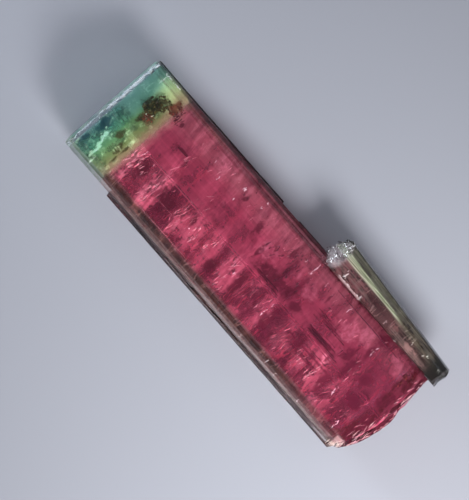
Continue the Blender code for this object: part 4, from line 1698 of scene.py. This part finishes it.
# Places that flash white: (across, down, half width, half height, flakes), in mm.
GLINTS = [
    (-3.92, 18.48, 0.16, 0.07, 8),
    (-3.75, 21.05, 0.22, 0.07, 9),
    (-3.90, 22.10, 0.14, 0.08, 8),
    (-3.90, 24.58, 0.12, 0.06, 6),
    (-3.85, 25.60, 0.10, 0.04, 3),
    (-1.45, 14.93, 0.14, 0.06, 6),
    (-1.70, 10.45, 0.05, 0.04, 3),
    (3.10, 10.95, 0.14, 0.12, 8),
    (2.10, 10.95, 0.14, 0.04, 4),
    (2.15, 9.10, 0.16, 0.04, 4),
    (3.10, 12.70, 0.10, 0.06, 5),
    (3.62, 12.75, 0.08, 0.06, 4),
    (2.75, 8.10, 0.14, 0.04, 3),
    (-0.9, 18.40, 0.14, 0.05, 3),
    (-1.70, 18.30, 0.20, 0.04, 4),
    (3.05, 18.48, 0.45, 0.03, 9),
    (2.95, 17.60, 0.14, 0.03, 4),
    (2.95, 19.80, 0.20, 0.03, 3),
    (2.90, 22.20, 0.30, 0.03, 3),
    (2.35, 25.55, 0.40, 0.04, 5),
    (-1.50, 25.75, 0.35, 0.06, 6),
    (-3.00, 27.55, 0.30, 0.08, 7),
    (1.25, 2.40, 0.10, 0.08, 5),
    (1.55, 2.83, 0.09, 0.07, 5),
    (1.10, 2.60, 0.06, 0.05, 3),
    (3.80, 1.35, 0.32, 0.03, 14),
    (-2.90, 1.95, 0.20, 0.05, 3),
    (-2.10, 1.72, 0.20, 0.05, 4),
    (-1.70, 1.60, 0.20, 0.05, 3),
    (-3.60, 2.26, 0.30, 0.03, 7),
    (4.24, 1.90, 0.05, 0.75, 30),
    (4.08, 20.90, 0.03, 1.00, 14),
    (4.10, 22.05, 0.26, 0.05, 8),
    (4.55, 20.20, 0.35, 0.12, 9),
    (4.30, 24.55, 0.15, 0.08, 5),
    (3.95, 25.95, 0.05, 0.08, 4),
    (4.78, 26.90, 0.10, 0.06, 5),
    (4.90, 28.20, 0.20, 0.20, 6),
    (4.80, 29.60, 0.12, 0.10, 5),
]
spots = near_points(GLINTS, chance) + over_side_top(190, chance)
glints = flakes("white_glints", chip, spots, chance)
finish = mottled_material("glint_flakes", (0.75, 0.72, 0.72), (0.98, 0.97, 0.97), 5.0, 0.25)
show(glints, finish)
bpy.data.objects.remove(chip)

grain = grain_blank()
# Nests of brown grains: (across, down, least depth, most depth, half width, half height, count, size), in mm.
BROWN_NESTS = [
    (1.95, 2.25, 0.10, 0.5, 0.70, 0.60, 60, 0.30),
    (2.60, 2.65, 0.10, 0.5, 0.65, 0.65, 40, 0.24),
    (0.80, 2.30, 0.12, 0.6, 0.42, 0.26, 16, 0.18),
    (-1.00, 2.25, 0.12, 0.7, 0.40, 0.26, 4, 0.11),
    (-1.60, 3.05, 0.12, 0.7, 0.60, 0.30, 6, 0.12),
]
brown = grains("brown_inclusions", grain, BROWN_NESTS, 41)
finish = mottled_material("olive_brown_grains", (0.018, 0.012, 0.005), (0.12, 0.075, 0.028), 4.0, 0.4)
show(brown, finish)

# Nests of rust-red grains, in the same measures.
RUST_NESTS = [
    (1.25, 2.75, 0.10, 0.5, 0.30, 0.36, 18, 0.18),
    (3.05, 3.55, 0.10, 0.5, 0.60, 0.36, 44, 0.19),
    (3.25, 3.95, 0.10, 0.4, 0.45, 0.20, 12, 0.13),
    (2.45, 4.15, 0.12, 0.4, 0.35, 0.22, 8, 0.13),
    (2.6, 28.6, 0.15, 0.6, 0.75, 0.30, 26, 0.18),
]
rust = grains("rust_inclusions", grain, RUST_NESTS, 43)
finish = mottled_material("rust_grains", (0.05, 0.006, 0.006), (0.28, 0.05, 0.04), 4.0, 0.4)
show(rust, finish)
bpy.data.objects.remove(grain)

# ---------------------------------------------------------------- floor, light and camera

FLOOR_GAP = 0.05 * MM
bpy.ops.mesh.primitive_plane_add(size=2.0, location=(0.0, 0.0, -FLOOR_GAP))
floor = bpy.context.object
floor.name = "floor"
floor_material, _, floor_shader, _ = new_material("pale_board")
floor_shader.inputs["Base Color"].default_value = (0.40, 0.41, 0.46, 1.0)
floor_shader.inputs["Roughness"].default_value = 0.7
floor.data.materials.append(floor_material)

world = bpy.data.worlds.new("studio")
world.use_nodes = True
sky = world.node_tree.nodes["Background"]
sky.inputs["Color"].default_value = (0.80, 0.85, 1.0, 1.0)
sky.inputs["Strength"].default_value = 0.16
bpy.context.scene.world = world


def softbox(name, location, target, size, power, spread, colour=(1.0, 1.0, 1.0), mirrored=True):
    """A square lamp that shines at the target within a soft cone, and may show in the glossy faces."""
    lamp = bpy.data.lights.new(name, "AREA")
    lamp.size = size
    lamp.energy = power
    lamp.spread = math.radians(spread)
    lamp.color = colour
    holder = bpy.data.objects.new(name, lamp)
    bpy.context.scene.collection.objects.link(holder)
    holder.location = location
    holder.rotation_euler = (Vector(location) - Vector(target)).to_track_quat("Z", "Y").to_euler()
    holder.visible_camera = False
    holder.visible_glossy = mirrored


softbox("base_softbox", (-0.080, 0.024, 0.085), (-0.028, 0.012, 0.0), 0.04, 0.036, 76, mirrored=False)
softbox("right_softbox", (-0.04, -0.12, 0.24), (-0.005, -0.005, 0.0), 0.18, 0.017, 80, mirrored=False)
softbox("cap_softbox", (0.10, 0.01, 0.035), (0.012, 0.0, 0.004), 0.03, 0.008, 60, (0.85, 0.92, 1.0))

# The camera looks down on the lying crystal, which it shows turned, with the cap at the upper left.
VIEW_HEIGHT = 35.3 * MM
VIEW_CENTRE = at(-0.30, 0.0, 13.68)
CAMERA_DISTANCE = 900.0 * MM
SENSOR = 36.0
right = Vector((-0.659, -0.752, 0.0)).normalized()
upward = Vector((0.752, -0.659, 0.0)).normalized()
back = right.cross(upward)
lens = bpy.data.cameras.new("camera")
lens.sensor_width = SENSOR
lens.lens = SENSOR * CAMERA_DISTANCE / VIEW_HEIGHT
lens.clip_start = 0.01
lens.clip_end = 10.0
camera = bpy.data.objects.new("camera", lens)
bpy.context.scene.collection.objects.link(camera)
turned = Matrix((right, upward, back)).transposed().to_4x4()
turned.translation = VIEW_CENTRE + back * CAMERA_DISTANCE
camera.matrix_world = turned
bpy.context.scene.camera = camera

scene = bpy.context.scene
scene.cycles.transparent_max_bounces = 64
scene.cycles.max_bounces = 24
scene.cycles.transmission_bounces = 24
scene.view_settings.view_transform = "Standard"
